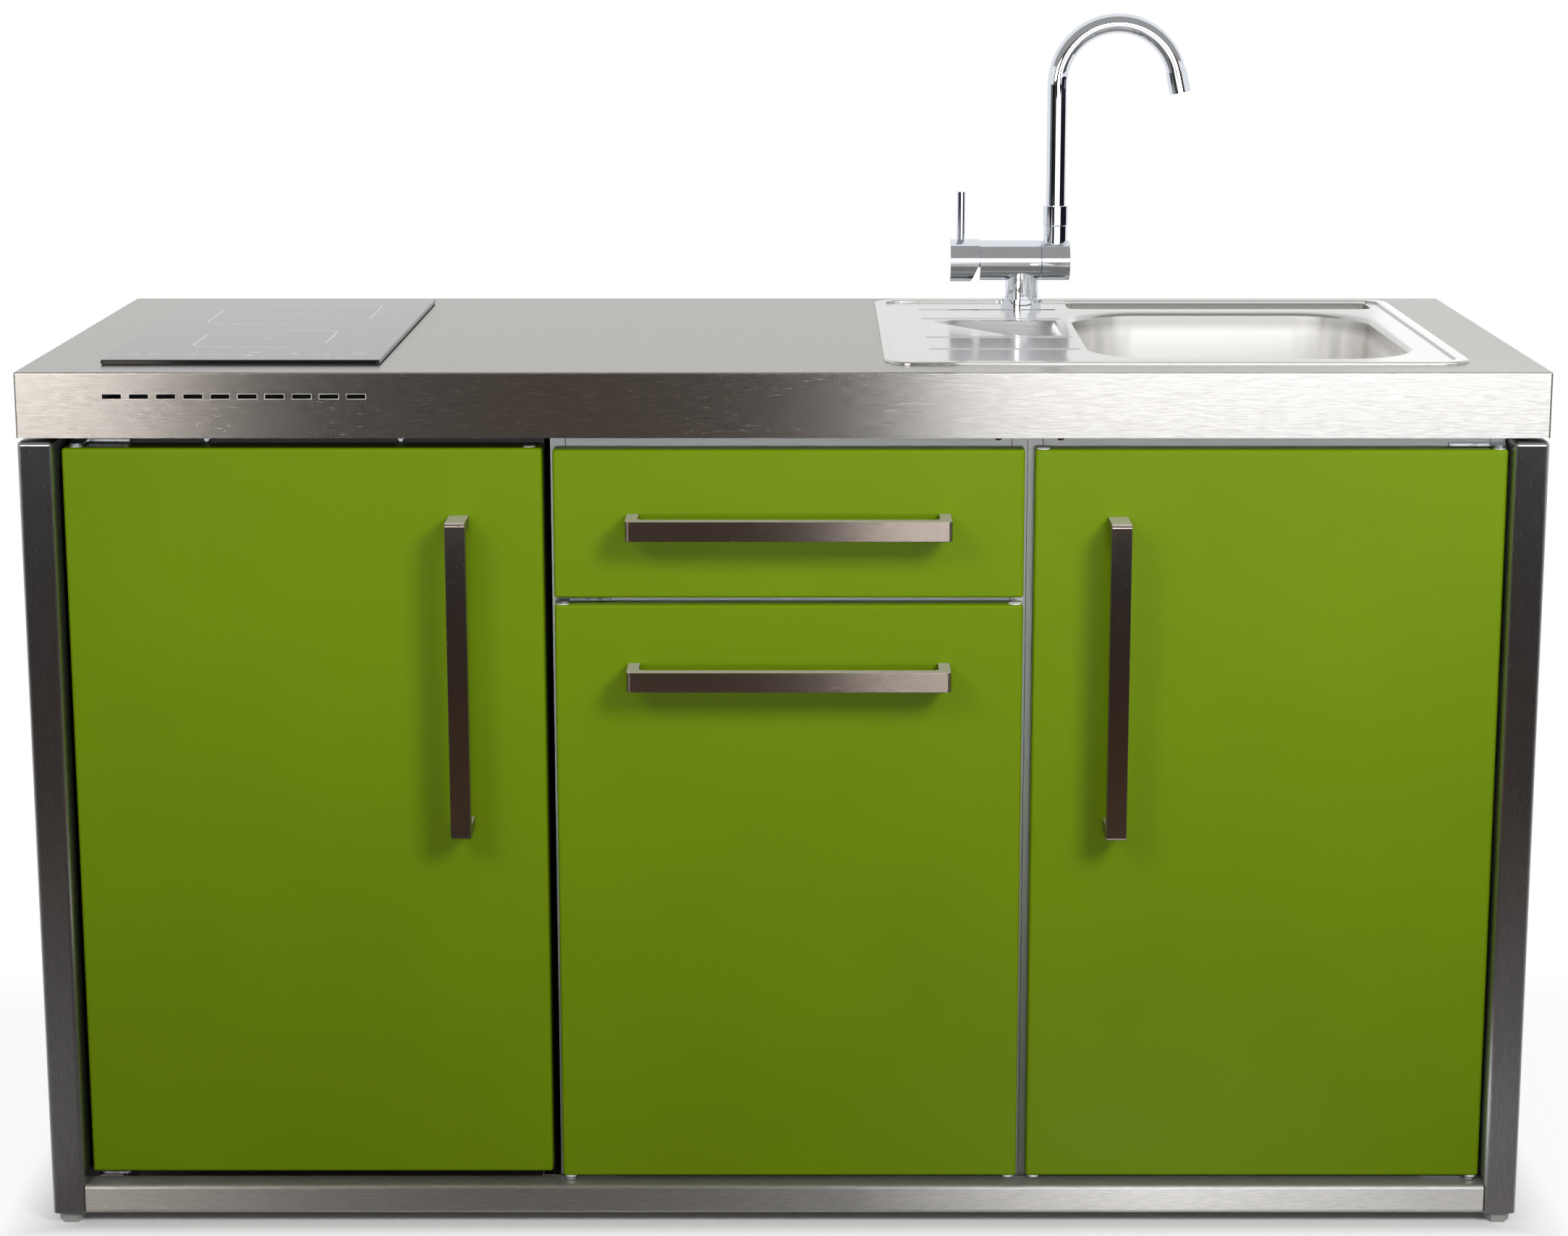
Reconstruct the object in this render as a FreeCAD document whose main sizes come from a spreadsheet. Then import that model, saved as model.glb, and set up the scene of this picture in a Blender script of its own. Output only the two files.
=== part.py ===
import FreeCAD, Part
import math
import os
import re
import Sketcher

DOC = FreeCAD.newDocument("OutdoorKitchen")

# Driving sizes in millimetres, read from the sheet by every piece.
SIZES = {
    # worktop tray
    "worktop_width": 1500,
    "worktop_depth": 600,
    "apron_height": 65,
    "apron_return": 20,
    "top_sheet": 1.5,
    "fold_radius": 2,
    "core_thick": 16,
    "core_gap": 1,
    # ventilation slots in the apron
    "vent_width": 18.5,
    "vent_height": 4.5,
    "vent_pitch": 26.5,
    "vent_from_end": 85.7,
    "vent_drop": 26.2,
    # tube frame
    "foot_height": 12,
    "leg_height": 802,
    "leg": 34,
    "leg_wall": 2,
    "leg_plate": 6,
    "leg_radius": 5,
    "top_gap": 3,
    "beam": 30,
    "beam_radius": 4,
    "panel_recess": 4,
    "panel_depth": 12,
    "panel_sheet": 1,
    # levelling feet
    "foot_radius": 16,
    "foot_taper": 3,
    "stem_radius": 5,
    "stem_length": 40,
    "stem_clearance": 0.08,
    # fronts
    "door_recess": 15,
    "door_thick": 20,
    "door_gap": 3,
    "door_radius": 3,
    "skin_sheet": 1.2,
    "liner_depth": 8,
    "door_floor_gap": 4.5,
    "door_top_reveal": 14,
    "drawer_front_height": 149,
    "drawer_gap": 7,
    "fridge_gap": 6,
    "bay_gap": 10.5,
    "unit_gap": 10,
    "end_gap": 3,
    "fridge_door_width": 472,
    "fridge_door_thick": 32,
    "fridge_floor_gap": 9.5,
    "fridge_top_reveal": 12.5,
    # handles
    "handle_length": 320,
    "handle_width": 20,
    "handle_bar": 12,
    "handle_projection": 43,
    "handle_radius": 4,
    "handle_inner_round": 6,
    "handle_inset": 72.5,
    "handle_drop": 67,
    "drawer_handle_drop": 64,
    "cupboard_handle_drop": 59,
    # hinges
    "pivot_inset": 8,
    "pivot_setback": 6,
    "fridge_pivot_inset": 13,
    "fridge_pivot_setback": 11,
    "pin_radius": 3,
    "pin_length": 12,
    "pin_clearance": 0.08,
    "bush_radius": 4.6,
    "bush_flange": 6.2,
    "bush_flange_thick": 1,
    "bush_depth": 9,
    "press_clearance": 0.02,
    "hinge_plate": 2.5,
    "hinge_clearance": 0.4,
    "hinge_round": 7,
    "hinge_reach": 48,
    "hinge_strip": 9,
    "hinge_toe": 18,
    "toe_screw_radius": 2.6,
    # cupboard carcasses
    "carcass_over": 3.5,
    "carcass_joint": 0.5,
    "carcass_sheet": 1,
    "service_depth": 40,
    "stile_width": 15,
    "stile_depth": 4,
    "kick_rail": 18,
    "head_rail": 74,
    "rear_rail": 30,
    "drawer_rail": 19,
    "shelf_height": 300,
    "shelf_thick": 14,
    "shelf_setback": 30,
    "shelf_ledge": 12,
    "ledge_thick": 2,
    # drawer
    "runner_height": 42,
    "runner_wall": 2,
    "runner_rear_gap": 58,
    "runner_clearance": 0.4,
    "slide_width": 8,
    "tray_height": 96,
    "tray_sheet": 1.2,
    "tray_lift": 12,
    # hob
    "hob_width": 276,
    "hob_from_end": 75,
    "hob_from_front": 47,
    "hob_from_rear": 53,
    "glass_thick": 4,
    "glass_bevel": 1,
    "glass_radius": 3,
    "seal_thick": 1.5,
    "seal_width": 7,
    "seal_inset": 1.5,
    "hob_cut_inset": 9,
    "hob_box_gap": 2,
    "hob_box_depth": 46,
    "hob_box_sheet": 1,
    "coil_hub": 22,
    "coil_thick": 10,
    "coil_below": 3,
    "coil_share": 0.18,
    "coil_place_share": 0.244,
    # sink pressing
    "sink_width": 582,
    "sink_from_end": 68,
    "sink_from_front": 46,
    "sink_from_rear": 34,
    "sink_corner": 30,
    "sink_rim": 3.4,
    "sink_rim_width": 13,
    "sink_rim_round": 2.2,
    "sink_rim_inner": 0.8,
    "sink_sheet": 1,
    "sink_deck": 1.2,
    "sink_cut_inset": 8,
    "bowl_left": 212,
    "bowl_front": 45,
    "bowl_side": 46,
    "bowl_rear": 105,
    "bowl_drop": 150,
    "bowl_corner": 75,
    "bowl_draft": 12,
    "bowl_floor_round": 28,
    "bowl_lip": 9,
    "bowl_lip_round": 6,
    "drain_left": 36,
    "drain_gap": 8,
    "drain_block": 5,
    "groove_start": 48,
    "groove_end": 3,
    "groove_width": 11,
    "groove_drop": 2,
    "groove_near_share": 0.217,
    "groove_second_share": 0.392,
    "groove_third_share": 0.687,
    "groove_far_share": 0.842,
    "recess_left": 60,
    "recess_gap": 19,
    "recess_knee_share": 0.6,
    "recess_near_share": 0.42,
    "recess_far_share": 0.658,
    "recess_tip": 9,
    "recess_drop": 9,
    "overflow_length": 40,
    "overflow_width": 9,
    "overflow_edge": 8,
    "trough_inset": 4,
    "trough_side": 26,
    "trough_width": 54,
    "trough_rear": 24,
    "trough_drop": 7,
    "trough_round": 12,
    # waste
    "waste_radius": 41,
    "waste_flange": 46,
    "waste_flange_thick": 1.5,
    "waste_wall": 2,
    "waste_cup": 48,
    "waste_seat": 5,
    "waste_nut": 49,
    "basket_gap": 1.5,
    "basket_wall": 1,
    "basket_depth": 34,
    "basket_knob": 7,
    "outlet_radius": 20,
    "outlet_length": 24,
    "outlet_wall": 2,
    "pipe_radius": 17,
    "tail_length": 40,
    "bottle_radius": 34,
    "bottle_height": 110,
    "pipe_clearance": 3,
    "service_radius": 45,
    # tap
    "tap_from_bowl": 46,
    "tap_from_rear": 40,
    "tap_flange_radius": 23.5,
    "tap_flange_thick": 8.5,
    "tap_flange_round": 0.8,
    "tap_post_radius": 18.7,
    "tap_axis_height": 51,
    "tap_body_radius": 22.6,
    "tap_body_left": 48,
    "tap_body_right": 20.6,
    "tap_gap": 0.4,
    "shank_radius": 14,
    "shank_length": 58,
    "shank_clearance": 0.5,
    "nut_radius": 19,
    "nut_thick": 8,
    "lever_hub_length": 33,
    "lever_hub_radius": 23.9,
    "lever_rod_radius": 4.7,
    "lever_rod_top": 77,
    "lever_rod_offset": 12,
    "lever_notch": 10,
    "spindle_radius": 8,
    "spindle_inside": 24,
    "spindle_bore": 0.06,
    "spindle_swing": 4,
    "tilt_from_right": 13,
    "fold_hub_length": 32,
    "fold_spigot_radius": 14,
    "fold_spigot_length": 16,
    "socket_radius": 13.3,
    "socket_top": 40,
    "collar_radius": 14,
    "collar_height": 21,
    "spout_radius": 11,
    "spout_wall": 1.4,
    "spout_rise": 197,
    "spout_bend": 67,
    "spout_tail": 4,
    "aerator_radius": 12.2,
    "aerator_length": 24,
    "aerator_mesh": 3,
    # fridge
    "fridge_wall": 34,
    "case_sheet": 1,
    "fridge_top_gap": 2,
    "fridge_liner": 2,
    "gasket_thick": 10,
    "gasket_inset": 17,
    "gasket_width": 11,
    "machine_depth": 150,
    "machine_height": 190,
    "machine_plate": 3,
    "glass_shelf": 5,
    "shelf_clear": 1,
    "shelf_front_gap": 90,
    "fridge_ledge": 9,
    "fridge_shelf_pitch": 165,
    "fridge_shelf_first": 250,
    "crisper_height": 150,
    "crisper_wall": 3,
    "crisper_gap": 6,
    "rack_depth": 62,
    "rack_height": 75,
    "rack_wall": 3,
    "rack_side": 54,
    "rack_first": 150,
    "rack_pitch": 260,
    "dial_radius": 18,
    "dial_thick": 9,
    "dial_shaft": 4,
    "dial_shaft_length": 9,
    "dial_gap": 0.4,
    "dial_clearance": 0.06,
    "dial_from_front": 170,
    "compressor_radius": 58,
    "compressor_height": 128,
    "compressor_dome": 30,
}

# Places worked out from the sizes above.
PLACES = {
    "half_width": "worktop_width / 2",
    "inner_half": "half_width - leg",
    "front": "(handle_projection - door_recess - worktop_depth) / 2",
    "rear": "front + worktop_depth",
    "leg_top": "foot_height + leg_height",
    "apron_bottom": "leg_top + top_gap",
    "top_level": "apron_bottom + apron_height",
    "beam_top": "foot_height + beam",
    "core_bottom": "top_level - top_sheet - core_thick",
    "door_front": "front + door_recess",
    "door_back": "door_front + door_thick",
    "unit_front": "door_back + door_gap",
    "unit_rear": "rear - service_depth",
    "unit_deep": "unit_rear - unit_front",
    "door_width": "(2 * inner_half - fridge_gap - fridge_door_width - bay_gap - unit_gap - end_gap) / 2",
    "unit_width": "door_width + 2 * carcass_over",
    "fridge_left": "fridge_gap - inner_half",
    "mid_left": "fridge_left + fridge_door_width + bay_gap",
    "end_left": "mid_left + door_width + unit_gap",
    "mid_unit_left": "mid_left - carcass_over",
    "end_unit_left": "mid_unit_left + unit_width + carcass_joint",
    "door_bottom": "beam_top + door_floor_gap",
    "door_top": "apron_bottom - door_top_reveal",
    "door_height": "door_top - door_bottom",
    "drawer_bottom": "door_top - drawer_front_height",
    "cupboard_top": "drawer_bottom - drawer_gap",
    "cupboard_height": "cupboard_top - door_bottom",
    "fridge_bottom": "beam_top + fridge_floor_gap",
    "fridge_top": "apron_bottom - fridge_top_reveal",
    "fridge_height": "fridge_top - fridge_bottom",
    "unit_high": "core_bottom - beam_top",
    "drawer_rail_low": "cupboard_top + drawer_gap / 2 - drawer_rail / 2",
    "opening_left": "mid_unit_left + stile_width",
    "opening_width": "unit_width - 2 * stile_width",
    "tray_low": "drawer_bottom + tray_lift",
    "tray_width": "opening_width - 2 * (runner_wall + runner_clearance + slide_width + runner_clearance)",
    "tray_left": "opening_left + runner_wall + runner_clearance + slide_width + runner_clearance",
    "runner_length": "unit_deep - stile_depth - runner_rear_gap",
    "tray_deep": "runner_length + door_gap + stile_depth",
    "runner_low": "tray_low + (tray_height - runner_height) / 2",
    "hob_left": "hob_from_end - half_width",
    "hob_front": "front + hob_from_front",
    "hob_depth": "worktop_depth - hob_from_front - hob_from_rear",
    "coil_radius": "hob_depth * coil_share",
    "coil_from_end": "hob_depth * coil_place_share",
    "glass_low": "top_level + seal_thick",
    "sink_left": "half_width - sink_from_end - sink_width",
    "sink_front": "front + sink_from_front",
    "sink_depth": "worktop_depth - sink_from_front - sink_from_rear",
    "bowl_width": "sink_width - bowl_left - bowl_side",
    "bowl_depth": "sink_depth - bowl_front - bowl_rear",
    "drain_right": "bowl_left - drain_gap",
    "groove_near": "sink_depth * groove_near_share",
    "groove_second": "sink_depth * groove_second_share",
    "groove_third": "sink_depth * groove_third_share",
    "groove_far": "sink_depth * groove_far_share",
    "recess_right": "bowl_left - recess_gap",
    "recess_knee": "recess_left + (recess_right - recess_left) * recess_knee_share",
    "recess_near": "sink_depth * recess_near_share",
    "recess_far": "sink_depth * recess_far_share",
    "trough_left": "bowl_left + trough_inset",
    "trough_right": "sink_width - trough_side",
    "trough_back": "sink_depth - trough_rear",
    "trough_front": "trough_back - trough_width",
    "tap_left": "bowl_left - tap_from_bowl",
    "tap_far": "sink_depth - tap_from_rear",
    "bowl_middle": "sink_left + bowl_left + bowl_width / 2",
    "bowl_centre": "sink_front + bowl_front + bowl_depth / 2",
    "bowl_floor": "top_level + sink_deck - bowl_drop",
    "waste_low": "bowl_floor - sink_sheet - waste_cup",
    "trap_top": "waste_low - tail_length",
    "pipe_level": "trap_top - bottle_height / 4",
    "tap_middle": "sink_left + tap_left",
    "tap_centre": "sink_front + tap_far",
    "deck_level": "top_level + sink_deck",
    "tap_axis": "deck_level + tap_axis_height",
    "tap_body_start": "tap_middle - tap_body_left",
    "tap_body_end": "tap_middle + tap_body_right",
    "lever_start": "tap_body_start - tap_gap - lever_hub_length",
    "tilt_place": "tap_body_start - tap_gap - tilt_from_right",
    "fold_start": "tap_body_end + tap_gap",
    "spout_place": "fold_start + fold_hub_length / 2",
    "cold_front": "door_front + fridge_door_thick + gasket_thick",
    "cold_rear": "rear - service_depth",
    "cold_deep": "cold_rear - cold_front",
    "cold_left": "fridge_left + carcass_joint",
    "cold_width": "fridge_door_width - 2 * carcass_joint",
    "cold_low": "beam_top",
    "cold_high": "leg_top - fridge_top_gap - cold_low",
    "room_left": "cold_left + fridge_wall",
    "room_width": "cold_width - 2 * fridge_wall",
    "room_low": "cold_low + fridge_wall",
    "room_high": "cold_high - 2 * fridge_wall",
    "room_deep": "cold_deep - fridge_wall",
    "shelf_front": "cold_front + shelf_front_gap",
}

VENT_COUNT = 10
FRIDGE_SHELVES = 3
SPOUT_SWEEP = 167.5
NEAR_SHARE = 1e-7
UP = FreeCAD.Vector(0, 0, 1)
HOME = {}


def make_sheet(name, cells):
    """A sheet with one named cell to a row."""
    sheet = DOC.addObject("Spreadsheet::Sheet", name)
    for row, (alias, content) in enumerate(cells.items(), 1):
        sheet.set("A%d" % row, alias)
        sheet.set("B%d" % row, content if isinstance(content, str) else repr(content))
        sheet.setAlias("B%d" % row, alias)
        HOME[alias] = name + "."
    return sheet


def bound(text):
    """The same sum with every name pointed at its sheet."""
    return re.sub(r"[a-z_]+", lambda found: HOME.get(found.group(), "") + found.group(), text)


def build_sheets():
    make_sheet("Sizes", SIZES)
    for alias in PLACES:
        HOME[alias] = "Places."
    make_sheet("Places", {alias: "=" + bound(text) for alias, text in PLACES.items()})
    DOC.recompute()


def number(text):
    return float(DOC.getObject("Places").evalExpression(bound(text)))


def placed(made, corner):
    for axis, text in zip("xyz", corner):
        made.setExpression("Placement.Base." + axis, bound(text))
    return made


def piece(label, made):
    """Marks an object as a finished sub-part."""
    made.Label = label
    FINISHED.append(made)
    return made


FINISHED = []
TURNS = {
    "z": FreeCAD.Rotation(),
    "x": FreeCAD.Rotation(FreeCAD.Vector(0, 1, 0), 90),
    "y": FreeCAD.Rotation(FreeCAD.Vector(1, 0, 0), -90),
}


def block(size, corner):
    """A rectangular block from its size and its lowest corner."""
    made = DOC.addObject("Part::Box", "Block")
    for field, text in zip(("Length", "Width", "Height"), size):
        made.setExpression(field, bound(text))
    return placed(made, corner)


def rod(radius, length, corner, axis="z"):
    """A round bar that runs from its place toward the positive axis."""
    made = DOC.addObject("Part::Cylinder", "Rod")
    made.Placement = FreeCAD.Placement(FreeCAD.Vector(), TURNS[axis])
    made.setExpression("Radius", bound(radius))
    made.setExpression("Height", bound(length))
    return placed(made, corner)


def joined(shapes):
    made = DOC.addObject("Part::MultiFuse", "Joined")
    made.Shapes = shapes
    made.Refine = True
    return made


def trimmed(base, tools):
    made = DOC.addObject("Part::Cut", "Trimmed")
    made.Base = base
    made.Tool = tools[0] if len(tools) == 1 else joined(tools)
    made.Refine = True
    return made


def together(shapes):
    made = DOC.addObject("Part::Compound", "Group")
    made.Links = shapes
    return made


def mirrored(source):
    made = DOC.addObject("Part::Mirroring", "Mirror")
    made.Source = source
    made.Base = FreeCAD.Vector()
    made.Normal = FreeCAD.Vector(1, 0, 0)
    return made


# Sketch planes: the sketch's own normal runs along +Z, +X and -Y.
PLANES = {"z": ("XY_Plane", 1), "x": ("YZ_Plane", 1), "y": ("XZ_Plane", -1)}


def new_body(corner):
    return placed(DOC.addObject("PartDesign::Body", "Body"), corner)


def new_sketch(body, axis, lift="0"):
    role, sign = PLANES[axis]
    sketch = body.newObject("Sketcher::SketchObject", "Outline")
    plane = [item for item in body.Origin.OriginFeatures if item.Role == role][0]
    sketch.AttachmentSupport = [(plane, "")]
    sketch.MapMode = "FlatFace"
    sketch.setExpression("AttachmentOffset.Base.z", bound(lift if sign > 0 else "-(%s)" % lift))
    return sketch


def pin_point(sketch, index, end, across, upward):
    """Ties one sketch point to its two named distances."""
    for kind, text, line in (("DistanceX", across, -2), ("DistanceY", upward, -1)):
        if text == "0":
            sketch.addConstraint(Sketcher.Constraint("PointOnObject", index, end, line))
        else:
            rule = sketch.addConstraint(Sketcher.Constraint(kind, -1, 1, index, end, number(text)))
            sketch.setExpression("Constraints[%d]" % rule, bound(text))


def polygon(sketch, points):
    """A closed outline with straight sides."""
    start = sketch.GeometryCount
    corners = [FreeCAD.Vector(number(across), number(upward), 0) for across, upward in points]
    for here, there in zip(corners, corners[1:] + corners[:1]):
        sketch.addGeometry(Part.LineSegment(here, there), False)
    for index in range(len(points)):
        after = start + (index + 1) % len(points)
        sketch.addConstraint(Sketcher.Constraint("Coincident", start + index, 2, after, 1))
    for index, (across, upward) in enumerate(points):
        pin_point(sketch, start + index, 1, across, upward)


def oblong(left, low, right, high):
    return [(left, low), (right, low), (right, high), (left, high)]


def circle(sketch, across, upward, radius):
    middle = FreeCAD.Vector(number(across), number(upward), 0)
    index = sketch.addGeometry(Part.Circle(middle, UP, number(radius)), False)
    rule = sketch.addConstraint(Sketcher.Constraint("Radius", index, number(radius)))
    sketch.setExpression("Constraints[%d]" % rule, bound(radius))
    pin_point(sketch, index, 3, across, upward)


def rounded(sketch, left, low, right, high, radius):
    """A rectangle with one corner radius."""
    x_low, y_low, x_high, y_high, r = [number(text) for text in (left, low, right, high, radius)]
    spots = [(x_high - r, y_low + r), (x_high - r, y_high - r),
             (x_low + r, y_high - r), (x_low + r, y_low + r)]
    sides = [((x_low + r, y_low), (x_high - r, y_low)), ((x_high, y_low + r), (x_high, y_high - r)),
             ((x_high - r, y_high), (x_low + r, y_high)), ((x_low, y_high - r), (x_low, y_low + r))]
    start = sketch.GeometryCount
    for turn, (spot, side) in enumerate(zip(spots, sides)):
        ends = [FreeCAD.Vector(x, y, 0) for x, y in side]
        sketch.addGeometry(Part.LineSegment(*ends), False)
        bend = Part.Circle(FreeCAD.Vector(spot[0], spot[1], 0), UP, r)
        sweep = math.pi / 2
        sketch.addGeometry(Part.ArcOfCircle(bend, (turn - 1) * sweep, turn * sweep), False)
    for index in range(8):
        after = start + (index + 1) % 8
        sketch.addConstraint(Sketcher.Constraint("Tangent", start + index, 2, after, 1))
    for index, kind in ((0, "Horizontal"), (2, "Vertical"), (4, "Horizontal"), (6, "Vertical")):
        sketch.addConstraint(Sketcher.Constraint(kind, start + index))
    for index in (3, 5, 7):
        sketch.addConstraint(Sketcher.Constraint("Equal", start + 1, start + index))
    rules = (("Radius", (start + 1,), radius), ("DistanceY", (-1, 1, start, 1), low),
             ("DistanceX", (-1, 1, start + 2, 1), right), ("DistanceY", (-1, 1, start + 4, 1), high),
             ("DistanceX", (-1, 1, start + 6, 1), left))
    for kind, where, text in rules:
        if text == "0":
            line = -1 if kind == "DistanceY" else -2
            sketch.addConstraint(Sketcher.Constraint("PointOnObject", where[2], 1, line))
        else:
            rule = sketch.addConstraint(Sketcher.Constraint(kind, *where, number(text)))
            sketch.setExpression("Constraints[%d]" % rule, bound(text))


def grow(body, axis, draw, length, lift="0"):
    """Adds an outline's material from its lift toward the positive axis."""
    sketch = new_sketch(body, axis, lift)
    draw(sketch)
    made = body.newObject("PartDesign::Pad", "Pad")
    made.Profile = sketch
    made.setExpression("Length", bound(length))
    made.Reversed = PLANES[axis][1] < 0
    DOC.recompute()
    return made


def carve(body, axis, draw, length, lift="0"):
    """Takes an outline's material away from its lift toward the positive axis."""
    before = body.Shape.Volume
    sketch = new_sketch(body, axis, lift)
    draw(sketch)
    made = body.newObject("PartDesign::Pocket", "Pocket")
    made.Profile = sketch
    made.setExpression("Length", bound(length))
    made.Reversed = PLANES[axis][1] > 0
    DOC.recompute()
    if not body.Shape.Volume < before:
        raise RuntimeError("a pocket cut nothing in " + body.Name)
    return made


def spin(body, points):
    """Turns a half outline of radius and height about the body's own upright axis."""
    sketch = new_sketch(body, "y")
    polygon(sketch, points)
    made = body.newObject("PartDesign::Revolution", "Revolution")
    made.Profile = sketch
    made.ReferenceAxis = (sketch, ["V_Axis"])
    made.Angle = 360
    DOC.recompute()
    return made


def soften(body, radius, wanted, kind="PartDesign::Fillet"):
    """Rounds every edge that the test picks."""
    last = body.Tip
    names = ["Edge%d" % index for index, edge in enumerate(last.Shape.Edges, 1) if wanted(edge)]
    made = body.newObject(kind, "Softened")
    made.Base = (last, names)
    made.setExpression("Radius" if kind.endswith("Fillet") else "Size", bound(radius))
    DOC.recompute()
    return made


def runs(edge, axis):
    """True for a straight edge parallel to an axis."""
    if edge.Curve.TypeId != "Part::GeomLine":
        return False
    return abs(abs(getattr(edge.Curve.Direction, axis)) - 1) < NEAR_SHARE


def lies(edge, axis, text):
    """True for an edge that stays at one level along an axis."""
    box = edge.BoundBox
    level = number(text)
    low, high = getattr(box, axis.upper() + "Min"), getattr(box, axis.upper() + "Max")
    near = NEAR_SHARE * number("worktop_width")
    return math.isclose(low, level, abs_tol=near) and math.isclose(high, level, abs_tol=near)


def rect(left, low, right, high):
    return lambda sketch: polygon(sketch, oblong(left, low, right, high))


def soft_rect(left, low, right, high, radius):
    return lambda sketch: rounded(sketch, left, low, right, high, radius)


def disc(across, upward, radius):
    return lambda sketch: circle(sketch, across, upward, radius)


def tube(axis, length, across, radius, corner):
    """A square tube with open ends."""
    body = new_body(corner)
    far = across + " - leg_wall"
    grow(body, axis, rect("0", "0", across, across), length)
    soften(body, radius, lambda edge: runs(edge, axis))
    carve(body, axis, rect("leg_wall", "leg_wall", far, far), length)
    return body


def leg(corner):
    """A square leg with a closed rounded top and a drilled foot plate."""
    body = new_body(corner)
    far = "leg - leg_wall"
    grow(body, "z", rect("0", "0", "leg", "leg"), "leg_height")
    soften(body, "leg_radius", lambda edge: runs(edge, "z") or lies(edge, "z", "leg_height"))
    carve(body, "z", rect("leg_wall", "leg_wall", far, far), "leg_height - leg_plate - leg_wall", "leg_plate")
    carve(body, "z", disc("leg / 2", "leg / 2", "stem_radius + stem_clearance"), "leg_plate")
    return body


def side_frames():
    """Two welded loops of tube that stand at the ends of the worktop."""
    span = "worktop_depth - 2 * leg"
    loop = together([
        leg(("-half_width", "front", "foot_height")),
        leg(("-half_width", "rear - leg", "foot_height")),
        tube("y", span, "leg", "leg_radius", ("-half_width", "front + leg", "leg_top - leg")),
        tube("y", span, "beam", "beam_radius", ("-half_width", "front + leg", "foot_height")),
    ])
    piece("side_frame_left", loop)
    piece("side_frame_right", mirrored(loop))


def base_frame():
    """Crossbars between the side frames and the bearers that carry the units."""
    piece("crossbars", together([
        tube("x", "2 * inner_half", "beam", "beam_radius", ("-inner_half", "front", "foot_height")),
        tube("x", "2 * inner_half", "beam", "beam_radius", ("-inner_half", "rear - beam", "foot_height")),
    ]))
    places = ("cold_left", "mid_unit_left - beam * 2 / 3", "end_unit_left - beam / 2",
              "end_unit_left + unit_width - beam")
    span = "worktop_depth - 2 * beam"
    piece("base_bearers", together([
        tube("y", span, "beam", "leg_radius", (place, "front + beam", "foot_height")) for place in places]))


def foot(label, across, deep):
    """A six-sided glide on a threaded stem."""
    rims = []
    for level, radius in (("0", "foot_radius - foot_taper"), ("foot_height", "foot_radius")):
        rim = DOC.addObject("Part::RegularPolygon", "Rim")
        rim.Polygon = 6
        rim.setExpression("Circumradius", bound(radius))
        rims.append(placed(rim, (across, deep, level)))
    glide = DOC.addObject("Part::Loft", "Glide")
    glide.Sections = rims
    glide.Solid = True
    glide.Ruled = True
    stem = rod("stem_radius", "stem_length", (across, deep, "foot_height"))
    piece(label, joined([glide, stem]))


def feet():
    near, far = "front + leg / 2", "rear - leg / 2"
    left, right = "leg / 2 - half_width", "half_width - leg / 2"
    foot("foot_front_left", left, near)
    foot("foot_front_right", right, near)
    foot("foot_rear_left", left, far)
    foot("foot_rear_right", right, far)


def side_panels():
    """Sheet pans that close the two side frames."""
    body = new_body(("panel_recess - half_width", "front + leg", "beam_top"))
    wide, high = "worktop_depth - 2 * leg", "leg_height - leg - beam"
    grow(body, "x", rect("0", "0", wide, high), "panel_depth")
    carve(body, "x", rect("panel_sheet", "panel_sheet", wide + " - panel_sheet", high + " - panel_sheet"),
          "panel_depth - panel_sheet", "panel_sheet")
    piece("side_panels", together([body, mirrored(body)]))


def back_panel():
    """A sheet pan between the rear legs with the waste pipe's hole."""
    body = new_body(("-inner_half", "rear - panel_recess - panel_depth", "beam_top"))
    wide, high = "2 * inner_half", "leg_height - beam"
    grow(body, "y", rect("0", "0", wide, high), "panel_depth")
    carve(body, "y", rect("panel_sheet", "panel_sheet", wide + " - panel_sheet", high + " - panel_sheet"),
          "panel_depth - panel_sheet")
    carve(body, "y", disc("inner_half + bowl_middle", "pipe_level - beam_top", "service_radius"),
          "panel_depth")
    piece("back_panel", body)


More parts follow.
